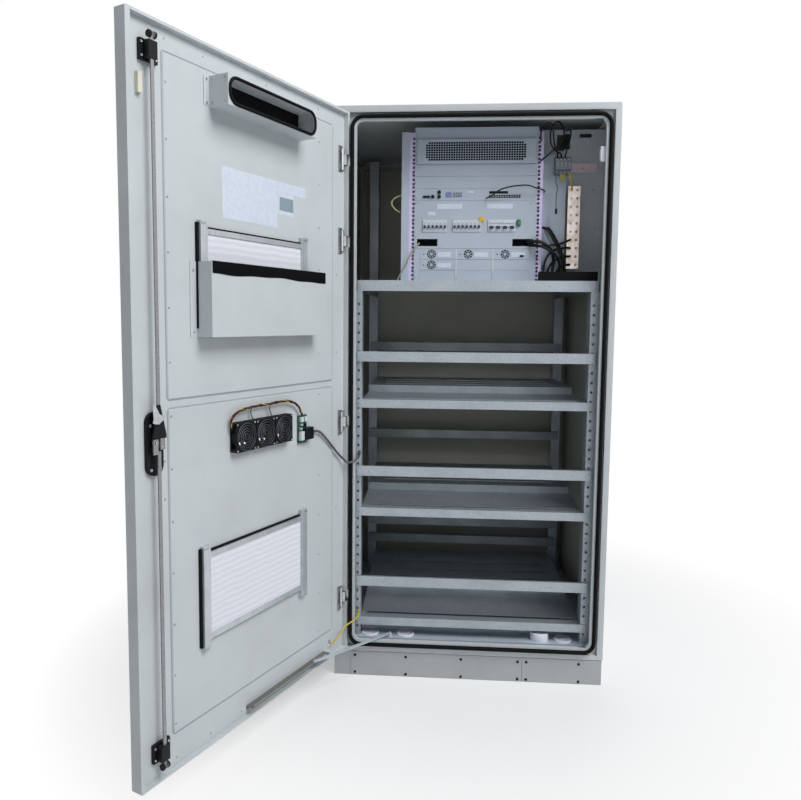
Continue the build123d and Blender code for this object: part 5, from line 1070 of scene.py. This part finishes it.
def main_toggles():
    """The main breaker's four dark toggles on their white hub, hanging 35 degrees below level."""
    zb = BREAKER_ROW
    turn = math.radians(35.0)

    def hung(grid):
        y = grid[..., 1] * math.cos(turn) - grid[..., 2] * math.sin(turn) - 299.0
        z = grid[..., 1] * math.sin(turn) + grid[..., 2] * math.cos(turn) + zb
        return np.stack([grid[..., 0], y, z], axis=-1)

    toggles = [hung(slab(x + 5.4, x + 20.0, -3.2, 3.2, -5.0, -19.0, 2.4, 1.4))
               for x in (58.0, 83.4, 108.8, 134.2)]
    body_piece("main_toggles", TOGGLE_BLUE, *toggles, body="breaker_handle", slot="black_plastic",
               stands_for=("main_breaker_handle",))
    hub = turned([(0.0, 61.6), (6.4, 61.6), (6.9, 62.2), (6.9, 155.4), (6.4, 156.0), (0.0, 156.0)], 24)
    hub = np.stack([hub[..., 1], hub[..., 0] - 299.0, hub[..., 2] + zb], axis=-1)
    body_piece("main_toggle_hub", BREAKER, hub, body="breaker_handle")


rack_screws()
vent_mesh()
main_toggles()
breaker_faces()
rack_labels()
controller_face()
module_grilles()


# Right-hand equipment

def copper_bar_screws():
    """Clamp screws in the two rows of the copper bar: plated on the left, bare bronze on the right."""
    pitch = (1852.0 - 1543.0) / 10
    for name, x, finish in (("bar_screws_left", 372.0, ZINC), ("bar_screws_right", 394.0, BRONZE)):
        places = [(x, BAR_FACE, 1543.0 + pitch * (i + 0.5)) for i in range(10)]
        body_screws(name, finish, 4.8, 2.2, places)


def terminal_faces():
    """Light clamps and screws in the face of the surge protector block."""
    x0, y1 = 301.0, -270.3
    levers, screws = [], []
    for i in range(4):
        x = x0 + 7 + 14.3 * i
        levers.append(slab(x - 3.4, x + 3.4, 1909.6, 1925.6, y1 - 41.5, y1 - 45.0, 1.2, 0.6))
        screws += [(x, y1 - 24.0, 1894.0), (x, y1 - 24.0, 1941.0)]
    body_piece("terminal_windows", KEY_GREY, *levers)
    body_screws("terminal_screws", ZINC, 3.2, 2.0, screws)


def wall_plate_flange():
    """The pale sheet round the square window of the wall plate, and the tag on the terminal's lead."""
    parts = [slab(*edges, -206.0, -209.8, 0.5, 0.4) for edges in
             ((258.4, 320.0, 1962.2, 2069.0), (320.2, 347.2, 2051.0, 2069.0),
              (320.2, 347.2, 1962.2, 1991.0))]
    body_piece("wall_plate_flange", SHEET_WALL, *parts)
    body_piece("terminal_tag", TAG_OLIVE, slab(320, 340, 1862, 1891, -294.5, -295.9, 2.0, 0.4))


def rail_screws():
    """Screws of the top-hat rail, the wall plate and the grey plate."""
    places = [(420.0, -211.6, 1926.0)] + [(x, -210.2, z) for x, z in
                                          ((462.0, 1844.0), (472.0, 1700.0), (462.0, 1570.0))]
    body_screws("wall_plate_screws", ZINC_SCREW, 3.2, 1.8, places)


copper_bar_screws()
terminal_faces()
wall_plate_flange()
rail_screws()


# Door furniture

def fan_guards():
    """Wire guards over the fans: rings 1.9 mm thick on four radial wires 2 mm thick."""
    front = FAN_FRONT + 1.9
    u = np.linspace(0, 2 * math.pi, 40, endpoint=False)
    v = np.linspace(0, 2 * math.pi, 7)[:-1]
    rings, wires = [], []
    for centre in FAN_CENTRES:
        for radius in (9.5, 17.5, 25.5, 33.5, 40.5):
            r = radius + 0.95 * np.cos(v)[None, :]
            rings.append(np.stack([centre + r * np.cos(u)[:, None],
                                   front + 0.95 * np.sin(v)[None, :] + 0 * u[:, None],
                                   FAN_HEIGHT + r * np.sin(u)[:, None]], axis=-1))
        for k in range(4):
            a = math.pi / 4 + k * math.pi / 2
            line = np.stack([centre + np.linspace(8, 53, 6) * math.cos(a), np.full(6, front - 1.3),
                             FAN_HEIGHT + np.linspace(8, 53, 6) * math.sin(a)], axis=1)
            wires.append(tube(line, 1.0, 8, (0.0, 1.0, 0.0)))
    door_piece("fan_guard_rings", GUARD, *rings, closed_rows=True)
    door_piece("fan_guard_wires", GUARD, *wires)
    screws = [(c + dx * 38.6, FAN_FRONT, FAN_HEIGHT + dz * 38.6) for c in FAN_CENTRES
              for dx in (-1, 1) for dz in (-1, 1)]
    door_screws("fan_screws", ZINC, 3.0, 1.6, screws)


def board_parts():
    """The small board's connectors, relays and capacitors, and the plug of the fan lead."""
    base = PAD + 0.3
    white = [slab(264, 278, 1002, 1018, base + 6.4, base + 15.0, 1.0, 0.5),
             slab(283, 297, 1002, 1018, base + 6.4, base + 15.0, 1.0, 0.5),
             slab(284, 300, 941, 971, base + 6.0, base + 18.4, 1.5, 0.6)]
    door_piece("board_connectors", BREAKER, *white)
    black = [slab(236.6, 279.4, 940.6, 981.4, base + 4.6, base + 22.4, 3.0, 1.2),
             slab(262, 271, 984, 994, base + 6.4, base + 9.6, 0.6, 0.3),
             slab(276, 288, 984, 992, base + 6.4, base + 9.0, 0.6, 0.3)]
    door_piece("board_black_parts", BLACK, *black)
    can = turned([(0.0, 10.0), (3.4, 10.0), (4.0, 9.5), (4.0, 0.0), (3.8, -0.5)], 18)
    cans = heads(can, [(296.0, base + 6.5, 980.0), (293.0, base + 6.5, 993.0)])
    door_piece("board_capacitors", ALLOY, cans)
    boot = turned([(0.0, -6.0), (6.5, -6.0), (7.5, 0.0), (6.6, 6.0), (6.8, 8.0), (5.8, 9.0), (6.0, 12.0),
                   (5.0, 13.0), (4.6, 20.0), (0.0, 20.0)], 18)
    grid = np.stack([238.0 - boot[..., 1], -4.0 + boot[..., 0], 960.8 + boot[..., 2]], axis=-1)
    door_piece("fan_lead_boot", BLACK, grid)


def filter_details():
    """Black seals beside the filter rails, the catches at their ends and the label sheet."""
    strips, knobs = [], []
    for s0, s1, z0, z1 in FILTERS:
        strips += [slab(*edges, PAD, PAD + high, 1.0, 0.5) for *edges, high in
                   ((s1 + 0.4, s1 + 7.0, z0 + 8, z1 - 6, 8.0),
                    (s0 + 30.5, s1 - 30.5, z1 - 20.7, z1 - 15.5, 7.0),
                    (s0 + 30.5, s1 - 30.5, z0 + 20.0, z0 + 24.7, 6.0))]
        for s in (s0 + 6, s0 + 15, s1 - 15, s1 - 6):
            knobs += [(s, 2.0, z1 - 6), (s, 2.0, z0 + 6)]
    door_piece("filter_seals", FOAM, *strips)
    catch = turned([(0.0, 2.2), (1.6, 2.4), (3.6, 2.2), (4.0, 1.4), (4.0, 0.0), (3.8, -0.3)], 14)
    door_piece("filter_catches", ZINC, heads(catch, knobs))
    sheet = [slab(402, 652, 1624, 1768, PAD + 0.02, PAD + 0.45, 1.5, 0.15),
             slab(250, 401, 1737, 1768, PAD + 0.02, PAD + 0.4, 1.5, 0.15),
             slab(318, 401, 1668, 1736, PAD + 0.02, PAD + 0.4, 1.5, 0.15)]
    door_piece("bare_door_sheets", LABEL, *sheet, sharp=12.0)
    door_piece("bare_grey_patch", LABEL_GREY, slab(320, 391, 1681, 1722, PAD + 0.42, PAD + 0.7, 1.0, 0.1),
               sharp=12.0)


def entry_caps():
    """White caps of the cable entries: a low dome with a raised rim and a dished top."""
    caps = []
    for x, y, height in ((-367.0, -384.0, 6.0), (-231.0, -384.0, 6.0), (277.0, -384.0, 30.0),
                         (364.0, -384.0, 6.0)):
        top = 140.3 + height
        profile = [(0.0, top - 1.6), (14.0, top - 1.5), (26.0, top - 1.2), (28.5, top - 0.1), (31.0, top),
                   (33.2, top - 0.8), (34.0, top - 2.6), (34.0, 140.4), (29.0, 140.35), (29.0, 127.0),
                   (0.0, 127.0)]
        shape = turned(profile, 40)
        caps.append(np.stack([x + shape[..., 0], y + shape[..., 2], shape[..., 1]], axis=-1))
    body_piece("entry_caps", WHITE, *caps, slot="white_plastic", stands_for=("cable_entry_plugs",))


def plated_parts():
    """The bright plate over the rod's gusset, drawn in from its outline in three steps, and the
    two lugs under the earth lead's screw on the liner."""
    outline = np.array([(-20, 74), (-19, 69), (-14, 62), (0, 52), (14, 54), (21, 57), (18, 67),
                        (21, 103), (14, 105), (-1, 78), (-10, 74)], float)
    middle = outline.mean(axis=0)
    rows = ((0.0, 9.52), (1.0, 9.52), (1.0, 10.6), (0.96, 11.0), (0.0, 11.0))
    skin = np.stack([np.insert(middle + (outline - middle) * share, 1, off, axis=1) for share, off in rows])
    door_piece("gusset_face", ZINC, skin + np.array([LATCH_S, 0.0, LATCH_Z]), body="upper_rod",
               sharp=20.0)
    lugs = [slab(97, 118, 152, 164, LINER + 0.1, LINER + 1.6, 5.0, 0.4),
            slab(101, 108, 158, 176, LINER + 1.6, LINER + 5.0, 2.0, 0.8)]
    door_piece("earth_lugs", ZINC, *lugs)
    head = heads(screw_head(4.6, 3.0), [(110.5, LINER + 1.6, 157.5)])
    door_piece("earth_screw", COPPER, head)


fan_guards()
board_parts()
filter_details()
entry_caps()
plated_parts()


# Stage

SKY = ("e6eef8", 0.17)
LAMPS = (("key", (3.1, -3.1, 5.5), (-0.1, -0.6, 1.0), 3.4, 322.0),
         ("left", (-3.6, -3.6, 2.4), (0.0, -0.4, 1.0), 2.6, 7.0),
         ("back", (1.0, 4.2, 3.6), (0.0, 0.3, 1.2), 3.2, 60.0))


def seen_directly(tree):
    """1 for rays of the camera and those that come by a reflection or through glass, else 0."""
    path = add(tree, "LightPath")
    either = add(tree, "Math", {"operation": "MAXIMUM"},
                 {0: path.outputs["Is Camera Ray"], 1: path.outputs["Is Glossy Ray"]}).outputs[0]
    return add(tree, "Math", {"operation": "MAXIMUM"},
               {0: either, 1: path.outputs["Is Transmission Ray"]}).outputs[0]


def studio_paper():
    """Matt white paper that takes the object's shadow near it and is plain white from 1.7 m out."""
    made, tree, shader, place = start("studio_paper", "f6f6f6", 0.9, specular=0.1)
    reach = add(tree, "VectorMath", {"operation": "LENGTH"}, {0: place}).outputs["Value"]
    far = add(tree, "MapRange", None, {"Value": reach, "From Min": 0.75, "From Max": 1.7,
                                       "To Min": 0.35, "To Max": 1.0}).outputs[0]
    share = add(tree, "Math", {"operation": "MULTIPLY"}, {0: far, 1: seen_directly(tree)}).outputs[0]
    white = add(tree, "Emission", None, {"Color": (1, 1, 1, 1), "Strength": 1.0})
    mix = add(tree, "MixShader", None, {0: share, 1: shader.outputs[0], 2: white.outputs[0]})
    tree.links.new(mix.outputs[0], tree.nodes["Material Output"].inputs["Surface"])
    return made


def stage():
    """A round floor, and the light of a bright day: one high lamp from the right and in front,
    a weak one from the left and one from behind, under an even sky."""
    u = np.linspace(0, 2 * math.pi, 96, endpoint=False)
    r = np.array([0.0, 3.0, 9.0, 30.0])[:, None]
    grid = np.stack([r * np.cos(u), r * np.sin(u), np.full((4, 96), -0.0005)], axis=-1)
    data = bpy.data.meshes.new("floor")
    data.from_pydata(grid.reshape(-1, 3), [], grid_faces(4, 96, False, True)[:, ::-1].tolist())
    data.materials.append(studio_paper())
    floor = bpy.data.objects.new("floor", data)
    bpy.context.scene.collection.objects.link(floor)
    world = bpy.data.worlds.new("studio_world")
    bpy.context.scene.world = world
    world.use_nodes = True
    tree = world.node_tree
    tree.nodes.clear()
    white = add(tree, "Background", None, {"Color": (1, 1, 1, 1), "Strength": 1.0})
    soft = add(tree, "Background", None, {"Color": linear(SKY[0]), "Strength": SKY[1]})
    mix = add(tree, "MixShader", None,
              {0: seen_directly(tree), 1: soft.outputs[0], 2: white.outputs[0]})
    add(tree, "OutputWorld", None, {0: mix.outputs[0]})
    for name, place, aim, size, power in LAMPS:
        lamp = bpy.data.lights.new(name, "AREA")
        lamp.size = size
        lamp.energy = power
        made = bpy.data.objects.new(name, lamp)
        made.location = place
        made.rotation_mode = "QUATERNION"
        made.rotation_quaternion = (Vector(aim) - Vector(place)).to_track_quat("-Z", "Y")
        bpy.context.scene.collection.objects.link(made)


stage()
bpy.context.scene.view_settings.view_transform = "Standard"

bpy.context.view_layer.update()
